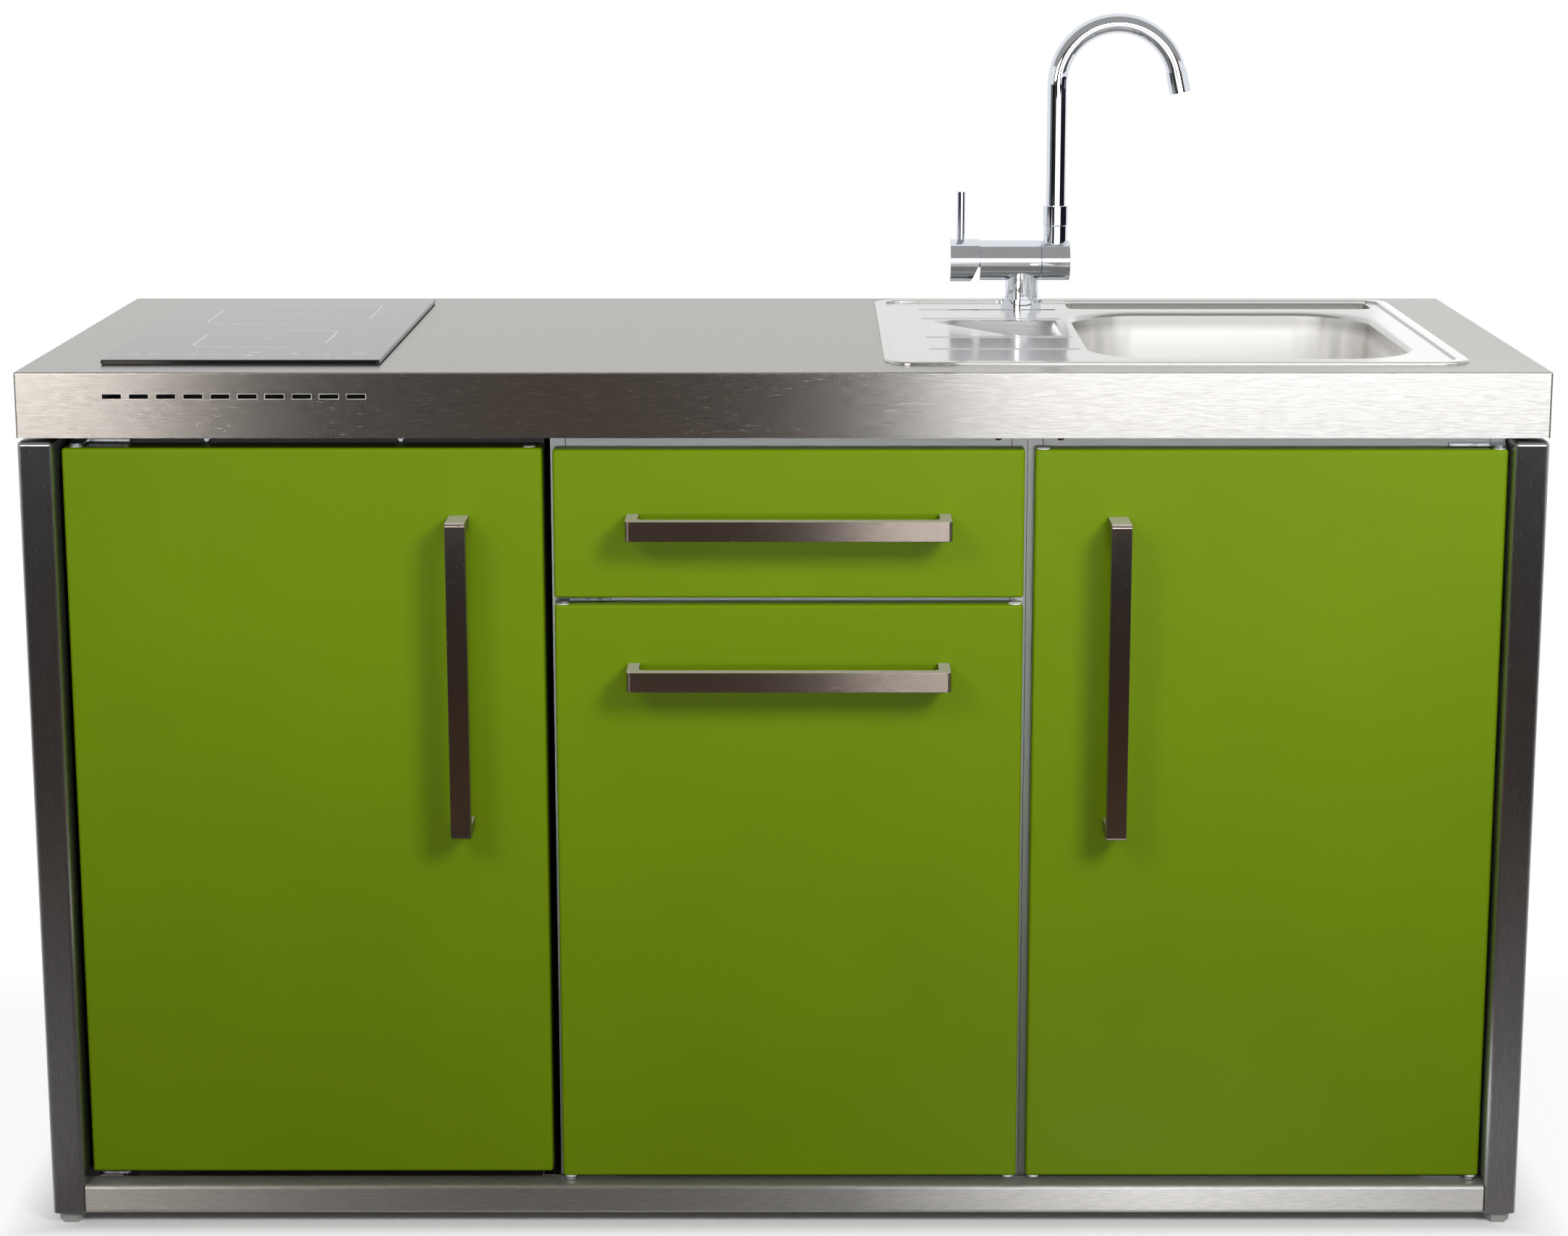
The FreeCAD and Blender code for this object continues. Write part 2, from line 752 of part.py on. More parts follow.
def worktop():
    """One folded sheet: flat top, apron all round, a return at its foot, two cut-outs and the vent row."""
    body = new_body(("-half_width", "front", "apron_bottom"))
    grow(body, "z", rect("0", "0", "worktop_width", "worktop_depth"), "apron_height")
    soften(body, "fold_radius", lambda edge: runs(edge, "z") or lies(edge, "z", "apron_height"))
    carve(body, "z", rect("apron_return", "apron_return", "worktop_width - apron_return",
                          "worktop_depth - apron_return"), "top_sheet")
    carve(body, "z", rect("top_sheet", "top_sheet", "worktop_width - top_sheet", "worktop_depth - top_sheet"),
          "apron_height - 2 * top_sheet", "top_sheet")
    level = "apron_height - top_sheet"
    carve(body, "z", rect("hob_from_end + hob_cut_inset", "hob_from_front + hob_cut_inset",
                          "hob_from_end + hob_width - hob_cut_inset",
                          "hob_from_front + hob_depth - hob_cut_inset"), "top_sheet", level)
    carve(body, "z", soft_rect("worktop_width - sink_from_end - sink_width + sink_cut_inset",
                               "sink_from_front + sink_cut_inset",
                               "worktop_width - sink_from_end - sink_cut_inset",
                               "sink_from_front + sink_depth - sink_cut_inset",
                               "sink_corner - sink_cut_inset"), "top_sheet", level)
    low = "apron_height - vent_drop"
    slot = carve(body, "y", rect("vent_from_end", low, "vent_from_end + vent_width", low + " + vent_height"),
                 "top_sheet")
    row = body.newObject("PartDesign::LinearPattern", "VentRow")
    row.Originals = [slot]
    row.Direction = (slot.Profile[0], ["H_Axis"])
    row.setExpression("Length", bound("vent_pitch * %d" % (VENT_COUNT - 1)))
    row.Occurrences = VENT_COUNT
    body.Tip = row
    DOC.recompute()
    piece("worktop", body)


def worktop_core():
    """The board under the sheet with the hob and sink openings."""
    inset = "(top_sheet + core_gap)"
    board = block(("worktop_width - 2 * " + inset, "worktop_depth - 2 * " + inset, "core_thick"),
                  (inset + " - half_width", "front + " + inset, "core_bottom"))
    hob_hole = block(("hob_width - 2 * hob_cut_inset", "hob_depth - 2 * hob_cut_inset", "core_thick"),
                     ("hob_left + hob_cut_inset", "hob_front + hob_cut_inset", "core_bottom"))
    sink_hole = block(("sink_width - 2 * sink_cut_inset", "sink_depth - 2 * sink_cut_inset", "core_thick"),
                      ("sink_left + sink_cut_inset", "sink_front + sink_cut_inset", "core_bottom"))
    piece("worktop_core", trimmed(board, [hob_hole, sink_hole]))


def hob():
    """Glass on a seal, with a sheet box below that carries two coils."""
    glass = new_body(("hob_left", "hob_front", "glass_low"))
    grow(glass, "z", soft_rect("0", "0", "hob_width", "hob_depth", "glass_radius"), "glass_thick")
    soften(glass, "glass_bevel", lambda edge: lies(edge, "z", "glass_thick"), "PartDesign::Chamfer")
    piece("hob_glass", glass)

    seal = new_body(("hob_left", "hob_front", "top_level"))
    inner = "(seal_inset + seal_width)"
    grow(seal, "z", rect("seal_inset", "seal_inset", "hob_width - seal_inset", "hob_depth - seal_inset"),
         "seal_thick")
    carve(seal, "z", rect(inner, inner, "hob_width - " + inner, "hob_depth - " + inner), "seal_thick")
    piece("hob_seal", seal)

    edge_in = "(hob_cut_inset + hob_box_gap)"
    box = new_body(("hob_left + " + edge_in, "hob_front + " + edge_in, "glass_low - hob_box_depth"))
    wide, deep = "(hob_width - 2 * %s)" % edge_in, "(hob_depth - 2 * %s)" % edge_in
    grow(box, "z", rect("0", "0", wide, deep), "hob_box_depth")
    wall = "hob_box_sheet"
    carve(box, "z", rect(wall, wall, "%s - %s" % (wide, wall), "%s - %s" % (deep, wall)),
          "hob_box_depth - hob_box_sheet", "hob_box_sheet")
    posts = "hob_box_depth - coil_below - coil_thick"
    middle = wide + " / 2"
    spots = ("coil_from_end - " + edge_in, "hob_depth - coil_from_end - " + edge_in)
    for spot in spots:
        grow(box, "z", disc(middle, spot, "coil_hub"), posts)
    piece("hob_housing", box)

    coils = []
    for spot in ("hob_front + coil_from_end", "hob_front + hob_depth - coil_from_end"):
        coil = new_body(("hob_left + hob_width / 2", spot, "glass_low - coil_below - coil_thick"))
        spin(coil, oblong("coil_hub / 2", "0", "coil_radius", "coil_thick"))
        coils.append(coil)
    piece("induction_coils", together(coils))


def sink():
    """The pressing: rolled rim, drainer with grooves and recess, rear trough and a drafted bowl."""
    body = new_body(("sink_left", "sink_front", "top_level"))
    grow(body, "z", soft_rect("0", "0", "sink_width", "sink_depth", "sink_corner"), "sink_rim")
    soften(body, "sink_rim_round", lambda edge: lies(edge, "z", "sink_rim"))
    carve(body, "z", soft_rect("sink_rim_width", "sink_rim_width", "sink_width - sink_rim_width",
                               "sink_depth - sink_rim_width", "sink_corner - sink_rim_width"),
          "sink_rim - sink_deck", "sink_deck")
    reach = number("sink_rim_width") - number("sink_rim_inner")
    soften(body, "sink_rim_inner", lambda edge: lies(edge, "z", "sink_rim") and edge.BoundBox.XMin > reach
           and edge.BoundBox.YMin > reach and edge.BoundBox.XMax < number("sink_width") - reach)

    # thickened places under the deck, each as deep as the forming above it
    grow(body, "z", rect("drain_left", "groove_near - drain_left", "drain_right", "groove_far + bowl_lip"),
         "drain_block", "-drain_block")
    grow(body, "z", rect("recess_left - bowl_lip", "recess_near - bowl_lip", "recess_right + bowl_lip",
                         "recess_far + bowl_lip"), "recess_drop + sink_sheet", "-(recess_drop + sink_sheet)")
    grow(body, "z", rect("trough_left - bowl_lip", "trough_front - bowl_lip", "trough_right + bowl_lip",
                         "trough_back + bowl_lip"), "trough_drop + sink_sheet", "-(trough_drop + sink_sheet)")
    right, far = "(bowl_left + bowl_width)", "(bowl_front + bowl_depth)"
    grow(body, "z", soft_rect("bowl_left - bowl_lip", "bowl_front - bowl_lip", right + " + bowl_lip",
                              far + " + bowl_lip", "bowl_corner + bowl_lip"), "bowl_lip", "-bowl_lip")

    # bowl: outer draft, then the inner draft one sheet smaller
    floor = "(bowl_drop - sink_deck)"
    drafts = (("PartDesign::AdditiveLoft", "sink_sheet", "0", "-(%s + sink_sheet)" % floor),
              ("PartDesign::SubtractiveLoft", "0", "sink_deck", "-" + floor))
    for kind, wall, top, low in drafts:
        rims = []
        for level, inset in ((top, "(0 - %s)" % wall), (low, "(bowl_draft - %s)" % wall)):
            rim = new_sketch(body, "z", level)
            rounded(rim, "bowl_left + " + inset, "bowl_front + " + inset, right + " - " + inset,
                    far + " - " + inset, "bowl_corner - " + inset)
            rims.append(rim)
        loft = body.newObject(kind, "Bowl")
        loft.Profile = rims[0]
        loft.Sections = [rims[1]]
        loft.Ruled = True
        DOC.recompute()
    soften(body, "bowl_floor_round", lambda edge: lies(edge, "z", "-" + floor))
    soften(body, "bowl_floor_round + sink_sheet", lambda edge: lies(edge, "z", "-(%s + sink_sheet)" % floor))
    inside = number("bowl_left") - number("bowl_lip")
    outside = number(right) + number("bowl_lip")
    soften(body, "bowl_lip_round", lambda edge: lies(edge, "z", "sink_deck") and edge.BoundBox.XMin > inside
           and edge.BoundBox.XMax < outside and edge.BoundBox.YMax < number(far) + number("bowl_lip")
           and edge.BoundBox.YMin > number("bowl_front") - number("bowl_lip"))

    # each groove is a shallow gutter with the section of a circle's arc
    bow = "((groove_width * groove_width / 4 + groove_drop * groove_drop) / (2 * groove_drop))"

    def grooves(sketch):
        for place in ("groove_near", "groove_second", "groove_third", "groove_far"):
            circle(sketch, place, "sink_deck - groove_drop + " + bow, bow)

    carve(body, "x", grooves, "drain_right - groove_start - groove_end", "groove_start")
    corners = [("recess_left", "recess_far - recess_tip"), ("recess_knee", "recess_near"),
               ("recess_right", "recess_near"), ("recess_right", "recess_far"), ("recess_left", "recess_far")]
    carve(body, "z", lambda sketch: polygon(sketch, corners), "recess_drop + sink_deck", "-recess_drop")
    slot_low = "recess_near + overflow_edge"
    carve(body, "z", rect("recess_right - overflow_edge - overflow_length", slot_low,
                          "recess_right - overflow_edge", slot_low + " + overflow_width"),
          "sink_sheet", "-(recess_drop + sink_sheet)")
    carve(body, "z", soft_rect("trough_left", "trough_front", "trough_right", "trough_back", "trough_round"),
          "trough_drop + sink_deck", "-trough_drop")
    carve(body, "z", disc("bowl_left + bowl_width / 2", "bowl_front + bowl_depth / 2", "waste_radius"),
          "sink_sheet", "-(%s + sink_sheet)" % floor)
    carve(body, "z", disc("tap_left", "tap_far", "shank_radius + shank_clearance"), "sink_deck")
    piece("sink", body)


def waste():
    """Waste cup clamped in the bowl, lift-out basket, bottle trap and outlet pipe."""
    sleeve = "(waste_radius - shank_clearance)"
    seat = "(tail_length + waste_cup + sink_sheet)"
    bore = "outlet_radius - outlet_wall"
    cup = new_body(("bowl_middle", "bowl_centre", "trap_top"))
    spin(cup, [(bore, "0"), ("outlet_radius", "0"), ("outlet_radius", "tail_length"), (sleeve, "tail_length"),
               (sleeve, seat), ("waste_flange", seat), ("waste_flange", seat + " + waste_flange_thick"),
               (sleeve + " - waste_wall", seat + " + waste_flange_thick"),
               (sleeve + " - waste_wall", "tail_length + waste_wall"), (bore, "tail_length + waste_wall")])
    ring = new_body(("bowl_middle", "bowl_centre", "trap_top"))
    spin(ring, oblong(sleeve + " + press_clearance", seat + " - sink_sheet - waste_seat", "waste_nut",
                      seat + " - sink_sheet"))
    piece("waste_fitting", together([cup, ring]))

    hull = "(%s - waste_wall - basket_gap)" % sleeve
    inner = hull + " - basket_wall"
    basket = new_body(("bowl_middle", "bowl_centre", "bowl_floor + waste_flange_thick - basket_depth"))
    rise = "basket_depth"
    spin(basket, [("0", "0"), (hull, "0"), (hull, rise), ("waste_radius", rise),
                  ("waste_radius", rise + " + basket_wall"), (inner, rise + " + basket_wall"),
                  (inner, "basket_wall"), ("basket_knob / 2", "basket_wall"),
                  ("basket_knob / 2", rise + " - basket_knob"), ("basket_knob", rise + " - basket_knob"),
                  ("basket_knob", rise), ("0", rise)])
    hole = carve(basket, "z", disc("waste_radius / 2", "0", "basket_knob / 2"), "basket_wall")
    holes = basket.newObject("PartDesign::PolarPattern", "Holes")
    holes.Originals = [hole]
    holes.Axis = (hole.Profile[0], ["N_Axis"])
    holes.Angle = 360
    holes.Occurrences = 8
    basket.Tip = holes
    DOC.recompute()
    piece("strainer_basket", basket)

    low = "trap_top + tail_length / 2 - bottle_height"
    run = "rear - bowl_centre"
    shell = joined([rod("bottle_radius", "bottle_height", ("bowl_middle", "bowl_centre", low)),
                    rod("pipe_radius", run, ("bowl_middle", "bowl_centre", "pipe_level"), "y"),
                    rod("outlet_radius", "outlet_length",
                        ("bowl_middle", "rear - outlet_length", "pipe_level"), "y")])
    hollow = [rod("bottle_radius - outlet_wall", "bottle_height - 2 * outlet_wall",
                  ("bowl_middle", "bowl_centre", low + " + outlet_wall")),
              rod("pipe_radius - outlet_wall", run, ("bowl_middle", "bowl_centre", "pipe_level"), "y"),
              rod("outlet_radius + press_clearance", "tail_length / 2",
                  ("bowl_middle", "bowl_centre", "trap_top"))]
    piece("waste_trap", trimmed(shell, hollow))


def tap():
    """A single-lever tap whose spout swivels and folds down forward about the cross body."""
    spot = ("tap_middle", "tap_centre")
    base = new_body(spot + ("deck_level",))
    spin(base, oblong("shank_radius + shank_clearance", "0", "tap_flange_radius", "tap_flange_thick"))
    soften(base, "tap_flange_round", lambda edge: lies(edge, "z", "tap_flange_thick")
           and edge.BoundBox.XMax > number("tap_post_radius"))
    piece("tap_base", base)

    foot_level = "deck_level + tap_flange_thick"
    start = ("tap_body_start", "tap_centre", "tap_axis")
    casting = joined([
        rod("shank_radius", "shank_length + tap_flange_thick", spot + ("deck_level - shank_length",)),
        rod("tap_post_radius", "tap_axis_height - tap_flange_thick", spot + (foot_level,)),
        rod("tap_body_radius", "tap_body_left + tap_body_right", start, "x"),
    ])
    bores = [
        rod("spindle_radius + spindle_bore", "spindle_inside", start, "x"),
        rod("fold_spigot_radius + spindle_bore", "fold_spigot_length + tap_gap",
            ("tap_body_end - fold_spigot_length - tap_gap", "tap_centre", "tap_axis"), "x"),
    ]
    piece("tap_body", trimmed(casting, bores))

    nut = DOC.addObject("Part::Prism", "Nut")
    nut.Polygon = 6
    nut.setExpression("Circumradius", bound("nut_radius"))
    nut.setExpression("Height", bound("nut_thick"))
    placed(nut, spot + ("top_level - nut_thick",))
    piece("tap_nut", trimmed(nut, [rod("shank_radius + press_clearance", "nut_thick",
                                       spot + ("top_level - nut_thick",))]))

    # spindle with the cross pin that the lever hub rocks on
    inside = "tap_body_start + spindle_inside - tap_gap"
    pin_reach = "lever_hub_radius - lever_rod_radius"
    piece("tap_spindle", joined([
        rod("spindle_radius", inside + " - tilt_place + spindle_radius / 2",
            ("tilt_place - spindle_radius / 2", "tap_centre", "tap_axis"), "x"),
        rod("pin_radius", "2 * (%s)" % pin_reach,
            ("tilt_place", "tap_centre - (%s)" % pin_reach, "tap_axis"), "y"),
    ]))

    hub = joined([
        rod("lever_hub_radius", "lever_hub_length", ("lever_start", "tap_centre", "tap_axis"), "x"),
        rod("lever_rod_radius", "lever_rod_top - lever_hub_radius / 2",
            ("lever_start + lever_rod_offset", "tap_centre", "tap_axis + lever_hub_radius / 2")),
    ])
    notch = new_body(("tap_body_start - tap_gap - lever_notch", "tap_centre - lever_hub_radius",
                      "tap_axis - lever_hub_radius"))
    wedge = [("0", "0"), ("lever_notch", "0"), ("lever_notch", "lever_hub_radius")]
    grow(notch, "y", lambda sketch: polygon(sketch, wedge), "2 * lever_hub_radius")
    slot_half = "(spindle_radius + tap_gap)"
    slot_high = "(spindle_radius + spindle_swing + tap_gap)"
    slot = block(("tilt_from_right + spindle_radius", "2 * " + slot_half, "2 * " + slot_high),
                 ("tilt_place - spindle_radius", "tap_centre - " + slot_half, "tap_axis - " + slot_high))
    eye = rod("pin_radius + spindle_bore", "2 * (%s)" % pin_reach,
              ("tilt_place", "tap_centre - (%s)" % pin_reach, "tap_axis"), "y")
    piece("tap_lever", trimmed(hub, [notch, slot, eye]))

    socket_bore = "socket_top / 2"
    elbow = joined([
        rod("tap_body_radius", "fold_hub_length", ("fold_start", "tap_centre", "tap_axis"), "x"),
        rod("fold_spigot_radius", "fold_spigot_length + tap_gap",
            ("fold_start - tap_gap - fold_spigot_length", "tap_centre", "tap_axis"), "x"),
        rod("socket_radius", "socket_top", ("spout_place", "tap_centre", "tap_axis")),
    ])
    piece("tap_fold_hub", trimmed(elbow, [
        rod("spout_radius + spindle_bore", socket_bore,
            ("spout_place", "tap_centre", "tap_axis + socket_top - " + socket_bore))]))

    # spout: rise, swan neck and short tail, with the collar that turns on the socket
    lift = "socket_top - %s + tap_gap" % socket_bore
    spout = new_body(("spout_place", "tap_centre", "tap_axis + " + lift))
    path = new_sketch(spout, "y")
    rise = number("spout_rise - (%s)" % lift)
    bend = number("spout_bend")
    tail = number("spout_tail")
    turn = math.radians(180 - SPOUT_SWEEP)
    end = FreeCAD.Vector(bend + bend * math.cos(turn), rise + bend * math.sin(turn), 0)
    tip = end + FreeCAD.Vector(tail * math.sin(turn), -tail * math.cos(turn), 0)
    path.addGeometry(Part.LineSegment(FreeCAD.Vector(), FreeCAD.Vector(0, rise, 0)), False)
    arch = Part.Circle(FreeCAD.Vector(bend, rise, 0), UP, bend)
    path.addGeometry(Part.ArcOfCircle(arch, turn, math.pi), False)
    path.addGeometry(Part.LineSegment(end, tip), False)
    path.addConstraint(Sketcher.Constraint("Coincident", 0, 1, -1, 1))
    path.addConstraint(Sketcher.Constraint("Vertical", 0))
    path.addConstraint(Sketcher.Constraint("Tangent", 0, 2, 1, 2))
    path.addConstraint(Sketcher.Constraint("Tangent", 1, 1, 2, 1))
    for rule, text in ((Sketcher.Constraint("DistanceY", -1, 1, 0, 2, rise), "spout_rise - (%s)" % lift),
                       (Sketcher.Constraint("Radius", 1, bend), "spout_bend"),
                       (Sketcher.Constraint("Distance", 2, tail), "spout_tail")):
        path.setExpression("Constraints[%d]" % path.addConstraint(rule), bound(text))
    path.addConstraint(Sketcher.Constraint("Angle", 2, turn - math.pi / 2))
    ring = new_sketch(spout, "z")
    circle(ring, "0", "0", "spout_radius")
    circle(ring, "0", "0", "spout_radius - spout_wall")
    swept = spout.newObject("PartDesign::AdditivePipe", "SwanNeck")
    swept.Profile = ring
    swept.Spine = (path, ["Edge1", "Edge2", "Edge3"])
    DOC.recompute()
    collar = new_body(("spout_place", "tap_centre", "tap_axis + socket_top + tap_gap"))
    spin(collar, oblong("spout_radius + press_clearance", "0", "collar_radius", "collar_height"))
    piece("tap_spout", together([spout, collar]))

    across, upward = math.cos(turn), math.sin(turn)
    nozzle = new_body(("spout_place + spout_bend * (1 + %r)" % across, "tap_centre",
                       "tap_axis + spout_rise + spout_bend * %r" % upward))
    lean = FreeCAD.Rotation(FreeCAD.Vector(0, 1, 0), SPOUT_SWEEP)
    nozzle.Placement = FreeCAD.Placement(FreeCAD.Vector(), lean)
    bore = "spout_radius + press_clearance"
    spin(nozzle, [(bore, "0"), ("aerator_radius", "0"), ("aerator_radius", "aerator_length"),
                  ("0", "aerator_length"), ("0", "aerator_length - aerator_mesh"),
                  (bore, "aerator_length - aerator_mesh")])
    piece("tap_aerator", nozzle)


def carcass(left, extras, rear_tools):
    """Folded sheet cupboard: sides, floor, back, front stiles and rails as welded strips."""
    inner = left + " + carcass_sheet"
    wide = "unit_width - 2 * carcass_sheet"
    far_side = left + " + unit_width - carcass_sheet"
    strip = "stile_width - carcass_sheet"
    stile_high = "unit_high - kick_rail - head_rail"
    walls = [block(("carcass_sheet", "unit_deep", "unit_high"), (place, "unit_front", "beam_top"))
             for place in (left, far_side)]
    stiles = [block((strip, "stile_depth", stile_high), (place, "unit_front", "beam_top + kick_rail"))
              for place in (inner, left + " + unit_width - stile_width")]
    rails = [
        block((wide, "stile_depth", "kick_rail"), (inner, "unit_front", "beam_top")),
        block((wide, "stile_depth", "head_rail"), (inner, "unit_front", "core_bottom - head_rail")),
        block((wide, "stile_depth", "rear_rail"),
              (inner, "unit_rear - carcass_sheet - stile_depth", "core_bottom - rear_rail")),
    ]
    floor = block((wide, "unit_deep - stile_depth - carcass_sheet", "carcass_sheet"),
                  (inner, "unit_front + stile_depth", "beam_top"))
    rear_sheet = block((wide, "carcass_sheet", "unit_high"), (inner, "unit_rear - carcass_sheet", "beam_top"))
    if rear_tools:
        rear_sheet = trimmed(rear_sheet, rear_tools)
    return together(walls + stiles + rails + [floor, rear_sheet] + extras)


def units():
    """The drawer-and-cupboard unit, its shelf, and the sink unit."""
    start = "unit_front + stile_depth + shelf_setback"
    deep = "unit_deep - stile_depth - shelf_setback - carcass_sheet"
    level = "beam_top + shelf_height"
    ledge_places = ("mid_unit_left + carcass_sheet",
                    "mid_unit_left + unit_width - carcass_sheet - shelf_ledge")
    extras = [block(("shelf_ledge", deep, "ledge_thick"), (place, start, level + " - ledge_thick"))
              for place in ledge_places]
    extras.append(block(("opening_width", "stile_depth", "drawer_rail"),
                        ("opening_left", "unit_front", "drawer_rail_low")))
    piece("mid_carcass", carcass("mid_unit_left", extras, []))

    board = new_body(("mid_unit_left + carcass_sheet + shelf_clear", start, level))
    wide = "(unit_width - 2 * carcass_sheet - 2 * shelf_clear)"
    long_way = "(%s - shelf_clear)" % deep
    rim = "carcass_sheet"
    grow(board, "z", rect("0", "0", wide, long_way), "shelf_thick")
    carve(board, "z", rect(rim, rim, "%s - %s" % (wide, rim), "%s - %s" % (long_way, rim)),
          "shelf_thick - carcass_sheet")
    piece("mid_shelf", board)

    pipe_way = rod("pipe_radius + pipe_clearance", "2 * carcass_sheet",
                   ("bowl_middle", "unit_rear - 2 * carcass_sheet", "pipe_level"), "y")
    piece("sink_carcass", carcass("end_unit_left", [], [pipe_way]))


def front_pan(left, bottom, wide, high, thick, pivots):
    """A door or drawer front: folded outer pan with rounded edges, and the liner that closes it."""
    skin = new_body((left, "door_front", bottom))
    grow(skin, "y", rect("0", "0", wide, high), thick)
    soften(skin, "door_radius", lambda edge: runs(edge, "y") or lies(edge, "y", "0"))
    carve(skin, "y", rect("skin_sheet", "skin_sheet", wide + " - skin_sheet", high + " - skin_sheet"),
          thick + " - skin_sheet", "skin_sheet")
    if pivots:
        inset, setback = pivots

        def eyes(sketch):
            circle(sketch, inset, setback, "bush_radius")
            circle(sketch, "%s - %s" % (wide, inset), setback, "bush_radius")

        carve(skin, "z", eyes, high)
    back = "door_front + %s - liner_depth" % thick
    liner = new_body((left + " + skin_sheet", back, bottom + " + skin_sheet"))
    across, upward = "(%s - 2 * skin_sheet)" % wide, "(%s - 2 * skin_sheet)" % high
    grow(liner, "y", rect("0", "0", across, upward), "liner_depth")
    carve(liner, "y", rect("skin_sheet", "skin_sheet", across + " - skin_sheet", upward + " - skin_sheet"),
          "liner_depth - skin_sheet")
    return skin, liner


def bush(across, deep, level, upright, bored):
    """A flanged nylon bush, or the blank cap of the same shape, in a pivot hole."""
    sleeve = "bush_radius - press_clearance"
    hole = "pin_radius + pin_clearance"
    if upright:
        body = new_body((across, deep, level + " - bush_depth"))
        outside = [(sleeve, "0"), (sleeve, "bush_depth"), ("bush_flange", "bush_depth"),
                   ("bush_flange", "bush_depth + bush_flange_thick")]
        high = "bush_depth + bush_flange_thick"
    else:
        body = new_body((across, deep, level + " - bush_flange_thick"))
        outside = [("bush_flange", "0"), ("bush_flange", "bush_flange_thick"), (sleeve, "bush_flange_thick"),
                   (sleeve, "bush_flange_thick + bush_depth")]
        high = "bush_flange_thick + bush_depth"
    if bored:
        spin(body, [(hole, "0")] + outside + [(hole, high)])
    else:
        spin(body, [("0", "0")] + outside + [("0", high)])
    return body


def hinge(across, deep, level, wall, rightward, pin_up, toe=False):
    """A welded arm with a round end and its pin, some with a long toe and its set screw."""
    arm = block(("2 * hinge_round", "%s - (%s)" % (wall, deep), "hinge_plate"),
                (across + " - hinge_round", deep, level))
    nose = rod("hinge_round", "hinge_plate", (across, deep, level))
    strip_left = across if rightward else across + " - hinge_reach"
    strip = block(("hinge_reach", "hinge_strip", "hinge_plate"), (strip_left, wall + " - hinge_strip", level))
    pin_level = level if pin_up else level + " - pin_length"
    pin = rod("pin_radius", "hinge_plate + pin_length", (across, deep, pin_level))
    parts = [arm, nose, strip, pin]
    if toe:
        tip = across + " + hinge_toe"
        parts += [block(("hinge_toe", "2 * hinge_round", "hinge_plate"),
                        (across, deep + " - hinge_round", level)),
                  rod("hinge_round", "hinge_plate", (tip, deep, level)),
                  rod("toe_screw_radius", "hinge_plate + bush_flange_thick", (tip, deep, level))]
    return joined(parts)


def hung_door(name, left, bottom, wide, high, thick, pivots, wall, hinged_left, toe=False):
    """A door with its liner, its pivot bushes and caps, and the two fixed hinge arms."""
    skin, liner = front_pan(left, bottom, wide, high, thick, pivots)
    piece(name + "_skin", skin)
    piece(name + "_liner", liner)
    inset, setback = pivots
    ends = ("%s + %s" % (left, inset), "%s + %s - %s" % (left, wide, inset))
    pivot, spare = ends if hinged_left else ends[::-1]
    deep = "door_front + " + setback
    top = "%s + %s" % (bottom, high)
    piece(name + "_plugs", together([
        bush(pivot, deep, top, True, True), bush(pivot, deep, bottom, False, True),
        bush(spare, deep, top, True, False), bush(spare, deep, bottom, False, False)]))
    above = top + " + bush_flange_thick + hinge_clearance"
    below = bottom + " - bush_flange_thick - hinge_clearance - hinge_plate"
    piece(name + "_hinges", together([
        hinge(pivot, deep, above, wall, hinged_left, False),
        hinge(pivot, deep, below, wall, hinged_left, True, toe)]))


def handle(label, left, bottom, upright):
    """A bar bent to a U with both feet on the front."""
    body = new_body((left, "door_front - handle_projection", bottom))
    far, end = "handle_length - handle_bar", "handle_length"
    reach, bar = "handle_projection", "handle_bar"
    shape = [("0", "0"), (end, "0"), (end, reach), (far, reach),
             (far, bar), (bar, bar), (bar, reach), ("0", reach)]
    axis = "x" if upright else "z"
    if upright:
        shape = [(upward, across) for across, upward in reversed(shape)]
    grow(body, axis, lambda sketch: polygon(sketch, shape), "handle_width")
    soften(body, "handle_radius", lambda edge: runs(edge, axis) and lies(edge, "y", "0"))
    soften(body, "handle_inner_round", lambda edge: runs(edge, axis) and lies(edge, "y", bar))
    piece(label, body)


def fronts():
    """The three doors, the drawer front and the four handles."""
    unit_pivots = ("pivot_inset", "pivot_setback")
    hung_door("cupboard_door", "mid_left", "door_bottom", "door_width", "cupboard_height", "door_thick",
              unit_pivots, "unit_front", True)
    hung_door("sink_door", "end_left", "door_bottom", "door_width", "door_height", "door_thick",
              unit_pivots, "unit_front", False)
    hung_door("fridge_door", "fridge_left", "fridge_bottom", "fridge_door_width", "fridge_height",
              "fridge_door_thick", ("fridge_pivot_inset", "fridge_pivot_setback"), "cold_front", True, True)
    skin, liner = front_pan("mid_left", "drawer_bottom", "door_width", "drawer_front_height",
                            "door_thick", None)
    piece("drawer_front", skin)
    piece("drawer_front_liner", liner)
    middle = "mid_left + (door_width - handle_length) / 2"
    handle("drawer_handle", middle, "door_top - drawer_handle_drop - handle_width", False)
    handle("cupboard_door_handle", middle, "cupboard_top - cupboard_handle_drop - handle_width", False)
    handle("sink_door_handle", "end_left + handle_inset", "door_top - handle_drop - handle_length", True)
    handle("fridge_door_handle", "fridge_left + fridge_door_width - handle_inset - handle_width",
           "fridge_top - handle_drop - handle_length", True)


